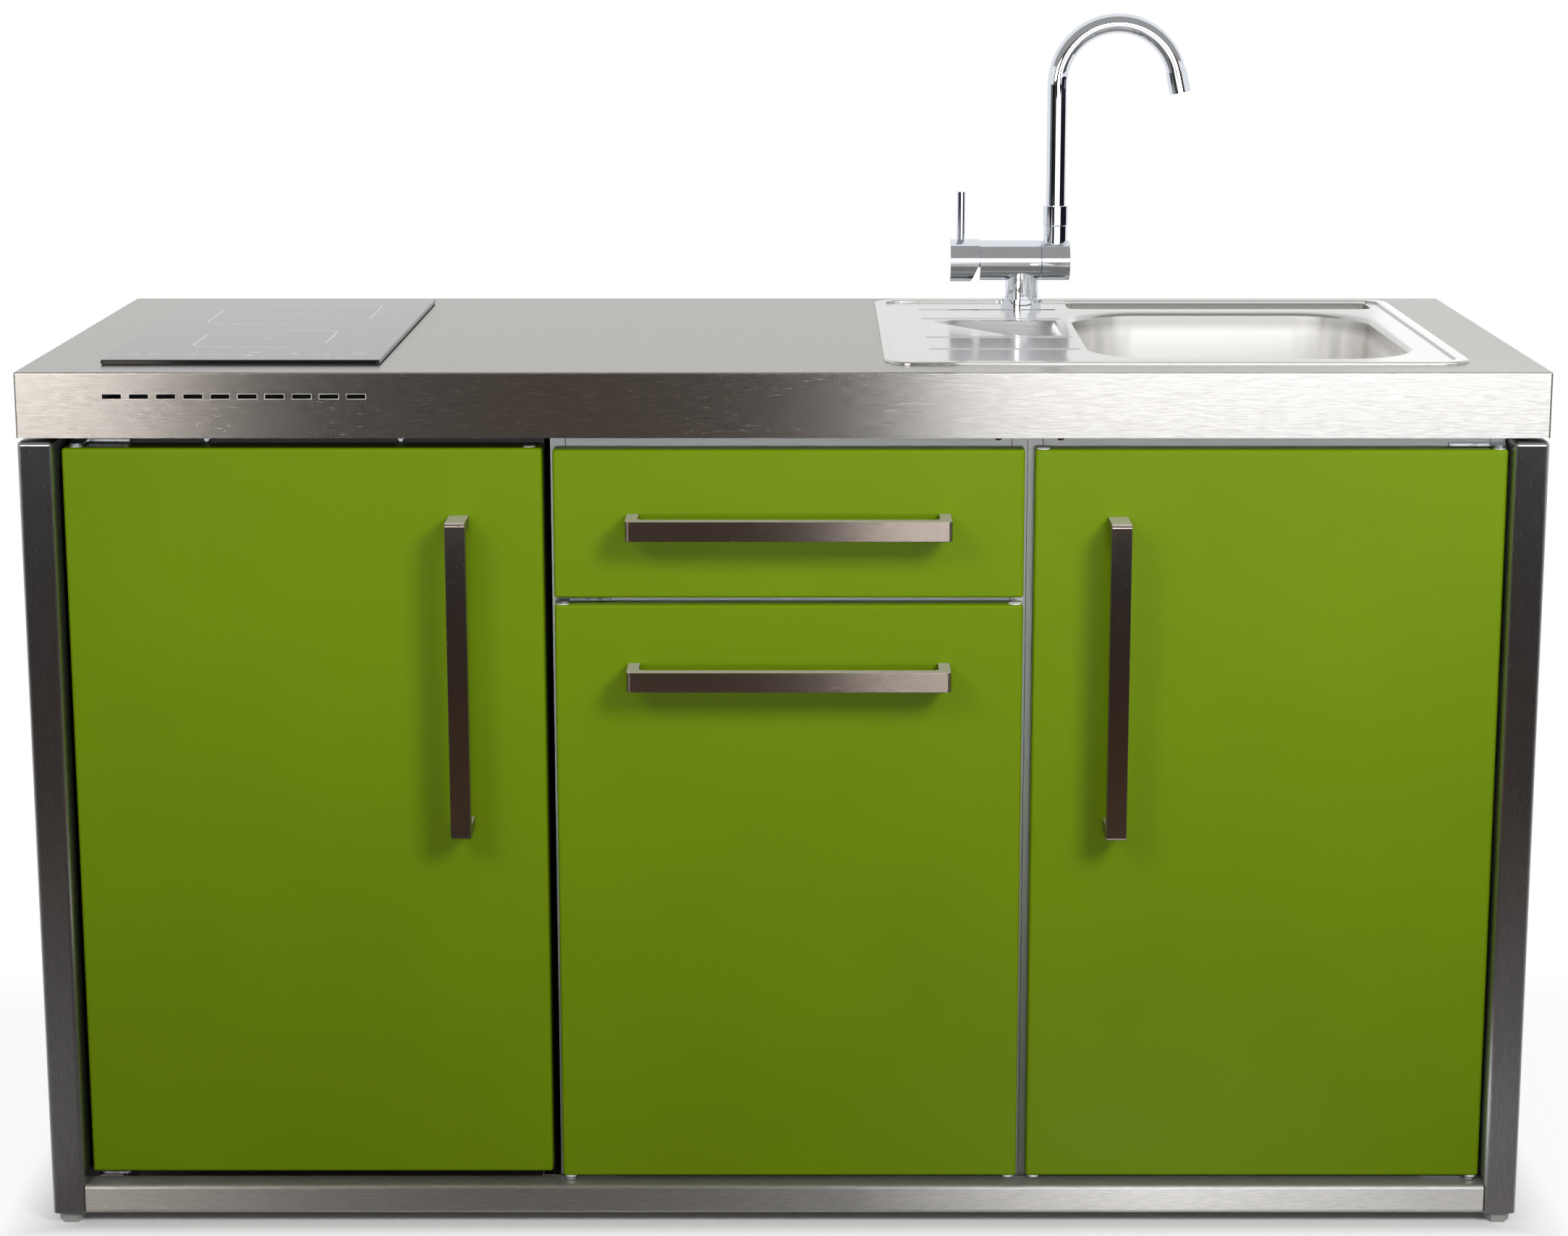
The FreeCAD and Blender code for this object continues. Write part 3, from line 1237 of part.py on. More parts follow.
def drawer():
    """Sheet tray on two bars that run in the fixed channels."""
    tray = new_body(("tray_left", "door_back", "tray_low"))
    grow(tray, "z", rect("0", "0", "tray_width", "tray_deep"), "tray_height")
    carve(tray, "z", rect("tray_sheet", "tray_sheet", "tray_width - tray_sheet", "tray_deep - tray_sheet"),
          "tray_height - tray_sheet", "tray_sheet")
    piece("drawer_tray", tray)

    start = "unit_front + stile_depth"
    play = "(runner_wall + runner_clearance)"
    wide = "slide_width + runner_clearance"
    piece("drawer_slides", together([
        block((wide, "runner_length", "runner_height - 2 * " + play), (place, start, "runner_low + " + play))
        for place in ("opening_left + " + play, "tray_left + tray_width")]))

    lip = "(runner_wall + runner_clearance + slide_width)"
    packer = "(stile_width - carcass_sheet)"
    whole = "%s + %s" % (packer, lip)
    top = "runner_height - runner_wall"
    web, low, high = packer + " + runner_wall", "runner_height / 3", "runner_height * 2 / 3"
    left_shape = [("0", low), (packer, low), (packer, "0"), (whole, "0"), (whole, "runner_wall"),
                  (web, "runner_wall"), (web, top), (whole, top), (whole, "runner_height"),
                  (packer, "runner_height"), (packer, high), ("0", high)]
    right_web = lip + " - runner_wall"
    right_shape = [("0", "0"), (lip, "0"), (lip, low), (whole, low), (whole, high), (lip, high),
                   (lip, "runner_height"), ("0", "runner_height"), ("0", top), (right_web, top),
                   (right_web, "runner_wall"), ("0", "runner_wall")]
    channels = []
    for place, shape in (("mid_unit_left + carcass_sheet", left_shape),
                         ("opening_left + opening_width - " + lip, right_shape)):
        channel = new_body((place, start, "runner_low"))
        grow(channel, "y", lambda sketch, shape=shape: polygon(sketch, shape), "runner_length")
        channels.append(channel)
    piece("drawer_runners", together(channels))


def fridge():
    """Insulated cabinet with a machine bay, its liner, shelves, crisper, dial and the door's inside."""
    bay_front = "cold_rear - machine_depth"
    step_top = "machine_plate + machine_height"

    def room(inset):
        space = block(("room_width - 2 * " + inset, "room_deep - " + inset, "room_high - 2 * " + inset),
                      ("room_left + " + inset, "cold_front", "room_low + " + inset))
        step = block(("room_width", "machine_depth + fridge_wall + " + inset, step_top + " + " + inset),
                     ("room_left", bay_front + " - fridge_wall - " + inset, "room_low"))
        return trimmed(space, [step])

    wall = "room_left + room_width"
    top_shelf = "room_low + fridge_shelf_first + fridge_shelf_pitch * %d" % (FRIDGE_SHELVES - 1)
    dial_spot = ("cold_front + dial_from_front",
                 "(%s + glass_shelf + room_low + room_high - fridge_liner) / 2" % top_shelf)
    shell = block(("cold_width", "cold_deep", "cold_high"), ("cold_left", "cold_front", "cold_low"))
    bay = block(("cold_width", "machine_depth", "machine_height"),
                ("cold_left", bay_front, "cold_low + machine_plate"))
    hollow = block(("cold_width - 2 * case_sheet", "cold_deep - 2 * case_sheet",
                    "cold_high - 2 * case_sheet"),
                   ("cold_left + case_sheet", "cold_front + case_sheet", "cold_low + case_sheet"))
    bay_skin = block(("cold_width", "machine_depth + case_sheet",
                      "machine_plate + machine_height + case_sheet"),
                     ("cold_left", bay_front + " - case_sheet", "cold_low"))
    piece("fridge_cabinet", trimmed(shell, [bay, room("0"), trimmed(hollow, [bay_skin])]))

    lined = trimmed(room("0"), [room("fridge_liner")])
    inside_left = "room_left + fridge_liner"
    inside_wide = "(room_width - 2 * fridge_liner)"
    shelf_deep = "(cold_front + room_deep - fridge_liner - shelf_front)"
    levels = ["room_low + fridge_shelf_first + fridge_shelf_pitch * %d" % step
              for step in range(FRIDGE_SHELVES)]
    ledges = [block(("fridge_ledge", shelf_deep, "ledge_thick"),
                    (place, "shelf_front", level + " - ledge_thick"))
              for level in levels for place in (inside_left, wall + " - fridge_liner - fridge_ledge")]
    shaft_gap = rod("dial_shaft + dial_clearance", "fridge_liner",
                    (wall + " - fridge_liner",) + dial_spot, "x")
    piece("fridge_liner", trimmed(joined([lined] + ledges), [shaft_gap]))
    piece("fridge_shelves", together([
        block((inside_wide + " - 2 * shelf_clear", shelf_deep + " - shelf_clear", "glass_shelf"),
              (inside_left + " + shelf_clear", "shelf_front", level)) for level in levels]))

    crisper = new_body((inside_left + " + crisper_gap", "shelf_front", "room_low + fridge_liner"))
    wide = "(%s - 2 * crisper_gap)" % inside_wide
    deep = "(%s - fridge_wall - fridge_liner - shelf_front - crisper_gap)" % bay_front
    rim = "crisper_wall"
    grow(crisper, "z", rect("0", "0", wide, deep), "crisper_height")
    carve(crisper, "z", rect(rim, rim, "%s - %s" % (wide, rim), "%s - %s" % (deep, rim)),
          "crisper_height - crisper_wall", rim)
    piece("crisper_box", crisper)

    knob = rod("dial_radius", "dial_thick",
               (wall + " - fridge_liner - dial_gap - dial_thick",) + dial_spot, "x")
    shaft = rod("dial_shaft", "fridge_liner + dial_shaft_length",
                (wall + " - fridge_liner - dial_gap",) + dial_spot, "x")
    piece("thermostat_dial", joined([knob, shaft]))

    pot = new_body(("cold_left + cold_width / 2", "cold_rear - machine_depth / 2",
                    "cold_low + machine_plate"))
    spin(pot, [("0", "0"), ("compressor_radius", "0"),
               ("compressor_radius", "compressor_height - compressor_dome"),
               ("compressor_radius - compressor_dome", "compressor_height"), ("0", "compressor_height")])
    piece("compressor", pot)

    back_face = "door_front + fridge_door_thick"
    seal = new_body(("fridge_left", back_face, "fridge_bottom"))
    outer = "gasket_inset"
    inner = "(gasket_inset + gasket_width)"
    for shape, inset in ((grow, outer), (carve, inner)):
        frame = rect(inset, inset, "fridge_door_width - " + inset, "fridge_height - " + inset)
        shape(seal, "y", frame, "gasket_thick")
    piece("fridge_door_gasket", seal)

    racks = []
    wide = "(fridge_door_width - 2 * rack_side)"
    rim = "rack_wall"
    for level in ("fridge_bottom + rack_first", "fridge_bottom + rack_first + rack_pitch"):
        rack = new_body(("fridge_left + rack_side", back_face, level))
        grow(rack, "z", rect("0", "0", wide, "rack_depth"), "rack_height")
        carve(rack, "z", rect(rim, rim, "%s - %s" % (wide, rim), "rack_depth - " + rim),
              "rack_height - rack_wall", rim)
        racks.append(rack)
    piece("fridge_door_racks", together(racks))


def write_parts():
    """Checks every object, then writes one file for each sub-part."""
    DOC.recompute()
    for made in DOC.Objects:
        if "Invalid" in made.State or "Error" in made.State:
            raise RuntimeError("%s (%s) did not compute: %s" % (made.Name, made.Label, made.State))
    for made in FINISHED:
        if made.Shape.isNull() or not made.Shape.isValid() or not made.Shape.Solids:
            raise RuntimeError(made.Label + " has no sound solid")
    os.makedirs("parts", exist_ok=True)
    for made in FINISHED:
        made.Shape.exportStep("parts/%s.step" % made.Label)


build_sheets()
side_frames()
base_frame()
feet()
side_panels()
back_panel()
worktop()
worktop_core()
hob()
sink()
waste()
tap()
units()
fronts()
drawer()
fridge()
write_parts()
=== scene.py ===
from math import radians

import bpy
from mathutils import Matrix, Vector


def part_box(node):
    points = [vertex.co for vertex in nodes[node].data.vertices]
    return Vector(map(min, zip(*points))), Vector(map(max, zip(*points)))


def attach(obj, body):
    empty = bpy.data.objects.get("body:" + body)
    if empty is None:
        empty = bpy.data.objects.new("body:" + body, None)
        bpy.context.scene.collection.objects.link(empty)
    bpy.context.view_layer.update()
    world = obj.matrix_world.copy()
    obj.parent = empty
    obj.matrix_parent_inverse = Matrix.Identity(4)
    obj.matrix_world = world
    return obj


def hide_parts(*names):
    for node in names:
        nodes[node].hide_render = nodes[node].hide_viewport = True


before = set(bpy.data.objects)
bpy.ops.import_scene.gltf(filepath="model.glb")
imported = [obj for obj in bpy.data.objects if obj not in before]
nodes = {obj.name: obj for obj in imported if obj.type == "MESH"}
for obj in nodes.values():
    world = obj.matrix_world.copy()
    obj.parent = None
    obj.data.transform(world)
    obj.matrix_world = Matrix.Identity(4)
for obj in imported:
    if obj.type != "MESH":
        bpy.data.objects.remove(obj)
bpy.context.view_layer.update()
MM = 0.001


# Studio: white paper on the floor runs out into a plain white surround, under a few soft lamps.
# Softboxes and dark flags stand where the photographer works, and only shiny surfaces see them.

def linear(code):
    """An sRGB hex colour as linear RGBA."""
    parts = [int(code[place:place + 2], 16) / 255 for place in (1, 3, 5)]
    return [part / 12.92 if part <= 0.04045 else ((part + 0.055) / 1.055) ** 2.4 for part in parts] + [1.0]


def add_node(tree, kind, settings=None, links=None):
    """One shader node: its settings go to sockets or properties, its links to its inputs."""
    made = tree.nodes.new("ShaderNode" + kind)
    for name, value in (settings or {}).items():
        if isinstance(name, int) or name in made.inputs:
            made.inputs[name].default_value = value
        else:
            setattr(made, name, value)
    for name, source in (links or {}).items():
        tree.links.new(source, made.inputs[name])
    return made


def bare_tree(owner):
    """The owner's node tree, emptied."""
    owner.use_nodes = True
    owner.node_tree.nodes.clear()
    return owner.node_tree


def seen_directly(tree):
    """1 for rays from the camera and mirrored or refracted ones, 0 for light that falls on a surface."""
    path = add_node(tree, "LightPath")
    shiny = add_node(tree, "Math", {"operation": "MAXIMUM"},
                     {0: path.outputs["Is Glossy Ray"], 1: path.outputs["Is Transmission Ray"]})
    either = add_node(tree, "Math", {"operation": "MAXIMUM"},
                      {0: path.outputs["Is Camera Ray"], 1: shiny.outputs[0]})
    return either.outputs[0]


SURROUND_LIGHT = 0.24
world = bpy.data.worlds.new("white surround")
bpy.context.scene.world = world
tree = bare_tree(world)
soft = add_node(tree, "Background", {"Color": linear("#ffffff"), "Strength": SURROUND_LIGHT})
white = add_node(tree, "Background", {"Color": linear("#ffffff"), "Strength": 1.0})
sky = add_node(tree, "MixShader", links={0: seen_directly(tree), 1: soft.outputs[0], 2: white.outputs[0]})
add_node(tree, "OutputWorld", links={"Surface": sky.outputs[0]})

# the paper lies in shadow under the kitchen, is a little lifted round it, and is plain white a stride
# away; the fade counts half the way out from the middle, in footprints
FLOOR_REACH = 14.0
FOOTPRINT = (0.76, 0.305, 1.0)
UNDER, BESIDE, STRIDE_AWAY = 0.475, 0.53, 0.85
bpy.ops.object.select_all(action="DESELECT")
bpy.ops.mesh.primitive_circle_add(vertices=96, radius=FLOOR_REACH, fill_type="NGON", location=(0, 0, 0))
floor = bpy.context.object
floor.name = "studio_floor"
paper = bpy.data.materials.new("white paper")
tree = bare_tree(paper)
place = add_node(tree, "TexCoord").outputs["Object"]
scaled = add_node(tree, "VectorMath", {"operation": "DIVIDE", 1: FOOTPRINT}, {0: place})
outward = add_node(tree, "VectorMath", {"operation": "ABSOLUTE"}, {0: scaled.outputs[0]})
sides = add_node(tree, "SeparateXYZ", links={0: outward.outputs[0]})
away = add_node(tree, "Math", {"operation": "MAXIMUM"}, {0: sides.outputs["X"], 1: sides.outputs["Y"]})
halved = add_node(tree, "Math", {"operation": "MULTIPLY", 1: 0.5}, {0: away.outputs[0]})
fade = add_node(tree, "ValToRGB", links={"Fac": halved.outputs[0]})
steps = fade.color_ramp.elements
steps[0].position = UNDER
steps[0].color = linear("#000000")
steps[1].position = STRIDE_AWAY
steps[1].color = linear("#ffffff")
steps.new(BESIDE).color = linear("#f4f4f4")
direct = seen_directly(tree)
share = add_node(tree, "Math", {"operation": "MULTIPLY"}, {0: fade.outputs[0], 1: direct})
# in the light that it throws back on the object, the paper counts as a plain grey floor
paper_tone = add_node(tree, "Mix", {"data_type": "RGBA", 6: linear("#8f8f8e"), 7: linear("#f2f2f1")},
                      {0: direct})
sheet = add_node(tree, "BsdfDiffuse", links={"Color": paper_tone.outputs[2]})
glow = add_node(tree, "Emission", {"Color": linear("#ffffff"), "Strength": 1.0})
mixed = add_node(tree, "MixShader", links={0: share.outputs[0], 1: sheet.outputs[0], 2: glow.outputs[0]})
add_node(tree, "OutputMaterial", links={"Surface": mixed.outputs[0]})
floor.data.materials.append(paper)

# each card: name, middle, width, height, turn, the colours of its low and high end, strength
UPRIGHT, SIDEWAYS = (radians(90), 0, 0), (radians(90), 0, radians(90))
LEVEL, ALONG = (0, 0, 0), (0, 0, radians(-90))
for name, centre, width, height, turn, low_colour, high_colour, strength in (
        ("dark_wall", (0, -8.2, 1.7), 18, 3.6, UPRIGHT, "#1b1a1b", "#75655a", 1.0),
        ("right_flag", (6.4, -2.6, 0.35), 11.2, 1.0, SIDEWAYS, "#141519", "#1d1f25", 1.0),
        ("left_flag", (-6.4, -5.8, 0.35), 4.8, 1.0, SIDEWAYS, "#101115", "#15161a", 1.0),
        ("left_grey", (-6.4, -1.8, 0.35), 3.2, 1.0, SIDEWAYS, "#5d6068", "#787b83", 1.0),
        ("floor_near", (0, -1.02, 0.004), 9, 1.46, LEVEL, "#4c4846", "#8f8b87", 1.0),
        ("floor_near_middle", (-0.28, -1.02, 0.005), 1.0, 1.46, LEVEL, "#2c2928", "#6d6966", 1.0),
        ("floor_near_rise", (0.23, -0.45, 0.006), 0.3, 0.34, ALONG, "#4c4846", "#ffffff", 1.5),
        ("floor_near_fall", (0.535, -0.45, 0.006), 0.3, 0.27, ALONG, "#ffffff", "#8a8a89", 1.4),
        ("floor_far", (0, -4.95, 0.004), 10, 6.4, LEVEL, "#3b3938", "#464241", 1.0),
        ("floor_middle_far", (0, -6.0, 0.006), 1.8, 3.2, LEVEL, "#141212", "#141212", 1.0),
        ("floor_middle_near", (0, -2.9, 0.006), 1.15, 3.0, LEVEL, "#141212", "#6b4f34", 1.0),
        ("grey_ceiling", (0, -4.0, 3.5), 18, 8.4, LEVEL, "#a9a8a5", "#a9a8a5", 1.0),
        ("right_softbox", (1.475, -5.3, 1.4), 2.25, 1.3, UPRIGHT, "#fcfdff", "#e0e1e4", 11.6),
        ("left_softbox", (-2.64, -5.3, 1.55), 2.04, 1.0, UPRIGHT, "#fff8f2", "#e4ddd8", 15.0),
        ("bowl_card", (0.48, -0.288, 0.985), 0.62, 0.2, UPRIGHT, "#f2f1ef", "#ffffff", 1.65),
        ("rear_right", (3.3, 5.0, 1.9), 3.6, 2.2, UPRIGHT, "#ffffff", "#ffffff", 1.3)):
    bpy.ops.object.select_all(action="DESELECT")
    bpy.ops.mesh.primitive_plane_add(size=1, location=centre, rotation=turn)
    card = bpy.context.object
    card.name = name
    card.scale = (width, height, 1)
    light = bpy.data.materials.new(name)
    tree = bare_tree(light)
    place = add_node(tree, "TexCoord").outputs["Object"]
    rise = add_node(tree, "SeparateXYZ", links={0: place})
    ramp = add_node(tree, "MapRange", {"From Min": -0.5, "From Max": 0.5}, {"Value": rise.outputs["Y"]})
    tone = add_node(tree, "Mix", {"data_type": "RGBA", 6: linear(low_colour), 7: linear(high_colour)},
                    {0: ramp.outputs[0]})
    shine = add_node(tree, "Emission", {"Strength": strength}, {"Color": tone.outputs[2]})
    add_node(tree, "OutputMaterial", links={"Surface": shine.outputs[0]})
    card.data.materials.append(light)
    card.visible_camera = False
    card.visible_diffuse = False
    card.visible_transmission = False
    card.visible_shadow = False

# each lamp: name, place, aim, width, height, spread in degrees, watts; the low front bank throws a
# narrow beam, which reaches in under the worktop's apron
for name, spot, aim, width, height, spread, power in (
        ("key_lamp", (1.5, -2.5, 2.3), (0.35, 0.0, 0.8), 0.9, 0.9, 180, 60),
        ("fill_lamp", (-1.5, -2.5, 2.3), (-0.35, 0.0, 0.8), 0.9, 0.9, 180, 23),
        ("front_bank", (0.25, -4.8, 0.80), (0.25, 0.0, 0.84), 2.4, 0.4, 18, 1.6)):
    lamp = bpy.data.lights.new(name, "AREA")
    lamp.shape = "RECTANGLE"
    lamp.size = width
    lamp.size_y = height
    lamp.spread = radians(spread)
    lamp.energy = power
    holder = bpy.data.objects.new(name, lamp)
    bpy.context.scene.collection.objects.link(holder)
    holder.location = spot
    holder.rotation_euler = (Vector(aim) - Vector(spot)).to_track_quat("-Z", "Y").to_euler()
    holder.visible_glossy = False
    holder.visible_camera = False

# the camera is fitted to the corners of the worktop and the frame in the photograph
CAMERA_PLACE = (0.02127, -3.42765, 1.33273)
CAMERA_TILT = 11.27
SENSOR_WIDTH, FOCAL_LENGTH = 36, 74.759
SHIFT_ACROSS, SHIFT_UP = -0.01347, -0.04404
camera = bpy.data.objects.new("photo_camera", bpy.data.cameras.new("photo_camera"))
bpy.context.scene.collection.objects.link(camera)
camera.location = CAMERA_PLACE
camera.rotation_euler = (radians(90 - CAMERA_TILT), 0, 0)
camera.data.sensor_fit = "HORIZONTAL"
camera.data.sensor_width = SENSOR_WIDTH
camera.data.lens = FOCAL_LENGTH
camera.data.shift_x = SHIFT_ACROSS
camera.data.shift_y = SHIFT_UP
bpy.context.scene.camera = camera
bpy.context.scene.view_settings.view_transform = "Standard"


# Side frames: square stainless tubes, welded into a closed frame at each end, with a sheet let in.
# Legs, rails and crossbars are rubbed along their length with fine grit after welding.

def new_finish(name, settings):
    """A material with one main shader, set as given: the material, its tree, its shader, its Object place."""
    made = bpy.data.materials.new(name)
    tree = bare_tree(made)
    shader = add_node(tree, "BsdfPrincipled", settings)
    add_node(tree, "OutputMaterial", links={"Surface": shader.outputs[0]})
    return made, tree, shader, add_node(tree, "TexCoord").outputs["Object"]


def shaded(code, factor):
    """The colour in linear RGBA, lighter or darker by a factor."""
    return [min(part * factor, 1.0) for part in linear(code)[:3]] + [1.0]


def mottle(tree, shader, pattern, colour, depth):
    """Lets a grey pattern lighten and darken the base colour by a depth either way."""
    tone = add_node(tree, "ValToRGB", links={"Fac": pattern})
    dark, light = tone.color_ramp.elements
    # most of a noise pattern lies between these two levels
    dark.position = 0.3
    light.position = 0.7
    dark.color = shaded(colour, 1 - depth)
    light.color = shaded(colour, 1 + depth)
    tree.links.new(tone.outputs[0], shader.inputs["Base Color"])


def rough_between(tree, shader, pattern, low, high):
    """Lets a grey pattern move the roughness between two values."""
    spread = add_node(tree, "MapRange", {"To Min": low, "To Max": high}, {"Value": pattern})
    tree.links.new(spread.outputs[0], shader.inputs["Roughness"])


def relief(tree, shader, pattern, strength, height):
    """Lets a grey pattern raise the surface by a height in metres."""
    bump = add_node(tree, "Bump", {"Strength": strength, "Distance": height}, {"Height": pattern})
    tree.links.new(bump.outputs[0], shader.inputs["Normal"])


def blend_over(tree, shader, mask, colour):
    """Lays a second base colour over the first where a mask is 1."""
    under = shader.inputs["Base Color"].links[0].from_socket
    both = add_node(tree, "Mix", {"data_type": "RGBA", 7: linear(colour)}, {0: mask, 6: under})
    tree.links.new(both.outputs[2], shader.inputs["Base Color"])


def brushed_steel(name, colour, roughness, grain, painted_top_light=None):
    """Stainless rubbed along one axis: fine scratches pull every highlight out across them.

    A painted top light is a paler base colour painted on faces that look up, standing in for light from above;
    there the mirror is turned down.
    """
    made, tree, shader, place = new_finish(name, {"Metallic": 1.0, "Anisotropic": 0.95})
    # grit scratches are about 0.05 mm wide and 20 mm long; drawn 0.9 mm wide and 14 mm long, so that they show
    width, length = 0.9 * MM, 14 * MM
    stretch = [1 / length if axis == grain else 1 / width for axis in "xyz"]
    along = add_node(tree, "Mapping", {"Scale": stretch}, {"Vector": place})
    scratches = add_node(tree, "TexNoise", {"Scale": 1.0, "Detail": 2.0, "Roughness": 0.55},
                         {"Vector": along.outputs[0]}).outputs["Fac"]
    mottle(tree, shader, scratches, colour, depth=0.13)
    rough_between(tree, shader, scratches, low=roughness - 0.02, high=roughness + 0.04)
    relief(tree, shader, scratches, strength=0.008, height=0.1 * MM)
    # the tangent lies across the grain, on faces of either direction
    across = [0.0 if axis == grain else 0.7 for axis in "xyz"]
    side = add_node(tree, "CombineXYZ", dict(zip("XYZ", across)))
    turned = add_node(tree, "VectorTransform", {"convert_from": "OBJECT", "convert_to": "WORLD"},
                      {"Vector": side.outputs[0]})
    tree.links.new(turned.outputs[0], shader.inputs["Tangent"])
    if painted_top_light:
        # a face counts as a top from 60 degrees of tilt to 26, where the paler colour is painted top light and
        # a fifth of the mirror is kept
        tilted, level, mirror_left = 0.5, 0.9, 0.2
        facing = add_node(tree, "SeparateXYZ", links={0: add_node(tree, "NewGeometry").outputs["Normal"]})
        upward = add_node(tree, "MapRange", {"From Min": tilted, "From Max": level},
                          {"Value": facing.outputs["Z"]}).outputs[0]
        shine = add_node(tree, "MapRange", {"To Min": 1.0, "To Max": mirror_left}, {"Value": upward})
        tree.links.new(shine.outputs[0], shader.inputs["Metallic"])
        blend_over(tree, shader, upward, painted_top_light)
    return made


def dress(surface, *names):
    """Gives CAD pieces their finish."""
    for name in names:
        for slot in nodes[name].material_slots:
            slot.material = surface


dress(brushed_steel("stainless tube, brushed upright", "#acadaf", roughness=0.25, grain="z"),
      "side_frame_left", "side_frame_right")
dress(brushed_steel("stainless sheet, brushed upright", "#b9b8b7", roughness=0.30, grain="z"), "side_panels")
dress(brushed_steel("stainless tube, brushed lengthwise", "#b3b1ae", roughness=0.36, grain="x"),
      "crossbars", "back_panel")
dress(brushed_steel("stainless tube, brushed front to back", "#b8b6b3", roughness=0.28, grain="y"),
      "base_bearers")


# Feet: hexagon glides of grey nylon, moulded round a screw that turns in the foot of each leg.
# The grey is part of the plastic, a little cloudy, with a fine sparkle from the mould.

def moulded(name, colour, roughness, speckle, settings=None):
    """Moulded plastic or rubber: an even colour with a fine mould texture, whose grain is a speckle wide."""
    made, tree, shader, place = new_finish(name, dict({"Specular IOR Level": 0.4}, **(settings or {})))
    grain = add_node(tree, "TexNoise", {"Scale": 1 / speckle, "Detail": 3.0, "Roughness": 0.6},
                     {"Vector": place}).outputs["Fac"]
    mottle(tree, shader, grain, colour, depth=0.05)
    rough_between(tree, shader, grain, low=roughness - 0.06, high=roughness + 0.06)
    relief(tree, shader, grain, strength=0.12, height=0.1 * MM)
    return made


foot_nylon = moulded("grey nylon, moulded", "#b4b4b2", roughness=0.42, speckle=1.5 * MM,
                     settings={"Subsurface Weight": 0.15, "Subsurface Scale": 2 * MM})
dress(foot_nylon, "foot_front_left", "foot_front_right", "foot_rear_left", "foot_rear_right")


# Worktop: a stainless sheet, folded down into an apron all round and bonded to a chipboard core.
# Vent slots are cut through the apron in front of the hob and the fridge.

dress(brushed_steel("stainless worktop, brushed lengthwise", "#b3b1ae", roughness=0.25, grain="x"), "worktop")


def chipboard(name):
    """Moisture-proof chipboard: flat wood chips about 4 mm long, pressed with green-tinged resin."""
    made, tree, shader, place = new_finish(name, {"Roughness": 0.75})
    chips = add_node(tree, "TexVoronoi", {"Scale": 1 / (4 * MM), "Randomness": 1.0}, {"Vector": place})
    grey = add_node(tree, "RGBToBW", links={0: chips.outputs["Color"]})
    mottle(tree, shader, grey.outputs[0], "#b29a6c", depth=0.28)
    relief(tree, shader, chips.outputs["Distance"], strength=0.3, height=0.2 * MM)
    return made


dress(chipboard("moisture-proof chipboard"), "worktop_core")


def zinc_plate(name, colour, roughness, cloud, depth):
    """Bare or zinc-coated steel: grey with soft clouds or spangles of crystals."""
    made, tree, shader, place = new_finish(name, {"Metallic": 1.0})
    clouds = add_node(tree, "TexVoronoi", {"Scale": 1 / cloud, "feature": "SMOOTH_F1", "Smoothness": 0.3},
                      {"Vector": place})
    grey = add_node(tree, "RGBToBW", links={0: clouds.outputs["Color"]}).outputs[0]
    mottle(tree, shader, grey, colour, depth)
    rough_between(tree, shader, grey, low=roughness - 0.08, high=roughness + 0.08)
    return made


def keep_band(width):
    """Of the flat piece in edit mode, keeps only a band of this width along its edge."""
    bpy.ops.mesh.select_all(action="SELECT")
    bpy.ops.mesh.inset(thickness=width)
    bpy.ops.mesh.delete(type="FACE")


def thicken(piece, thickness):
    """Gives the flat piece at work a thickness, built up from where it lies."""
    layer = piece.modifiers.new("layer", "SOLIDIFY")
    layer.thickness = thickness
    layer.offset = 1
    bpy.ops.object.modifier_apply(modifier=layer.name)


# a fine pale band round each vent, proud of the apron, is a painted highlight of the cut edge
VENT_COUNT, VENT_PITCH = 10, 26.5 * MM
VENT_WIDTH, VENT_HEIGHT = 18.5 * MM, 4.5 * MM
VENT_FROM_END, VENT_DROP = 85.7 * MM, 26.2 * MM
RIM_WIDTH, RIM_PROUD = 0.55 * MM, 0.06 * MM
worktop_low, worktop_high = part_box("worktop")
first_vent = (worktop_low[0] + VENT_FROM_END + VENT_WIDTH / 2, worktop_low[1],
              worktop_high[2] - VENT_DROP + VENT_HEIGHT / 2)
bpy.ops.object.select_all(action="DESELECT")
bpy.ops.mesh.primitive_plane_add(size=1, location=first_vent, rotation=(radians(90), 0, 0))
vent_highlight_rims = bpy.context.object
vent_highlight_rims.name = "vent_highlight_rims"
vent_highlight_rims.scale = (VENT_WIDTH + 2 * RIM_WIDTH, VENT_HEIGHT + 2 * RIM_WIDTH, 1)
bpy.ops.object.transform_apply(location=True, rotation=True, scale=True)
bpy.ops.object.mode_set(mode="EDIT")
keep_band(RIM_WIDTH)
bpy.ops.object.mode_set(mode="OBJECT")
row = vent_highlight_rims.modifiers.new("row", "ARRAY")
row.count = VENT_COUNT
row.use_relative_offset = False
row.use_constant_offset = True
row.constant_offset_displace = (VENT_PITCH, 0, 0)
bpy.ops.object.modifier_apply(modifier=row.name)
thicken(vent_highlight_rims, RIM_PROUD)
# the band's pale colour is a painted highlight where the cut edge catches light
painted_rim_highlight = zinc_plate("stainless, painted highlight on cut edge", "#dddbd8", roughness=0.42, cloud=2 * MM, depth=0.06)
vent_highlight_rims.data.materials.append(painted_rim_highlight)
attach(vent_highlight_rims, "frame")


# Induction hob: a black ceramic glass plate on a rubber seal, its electronics in a black box below.
# Cooking zones and touch fields are printed on the glass in pale ceramic ink.

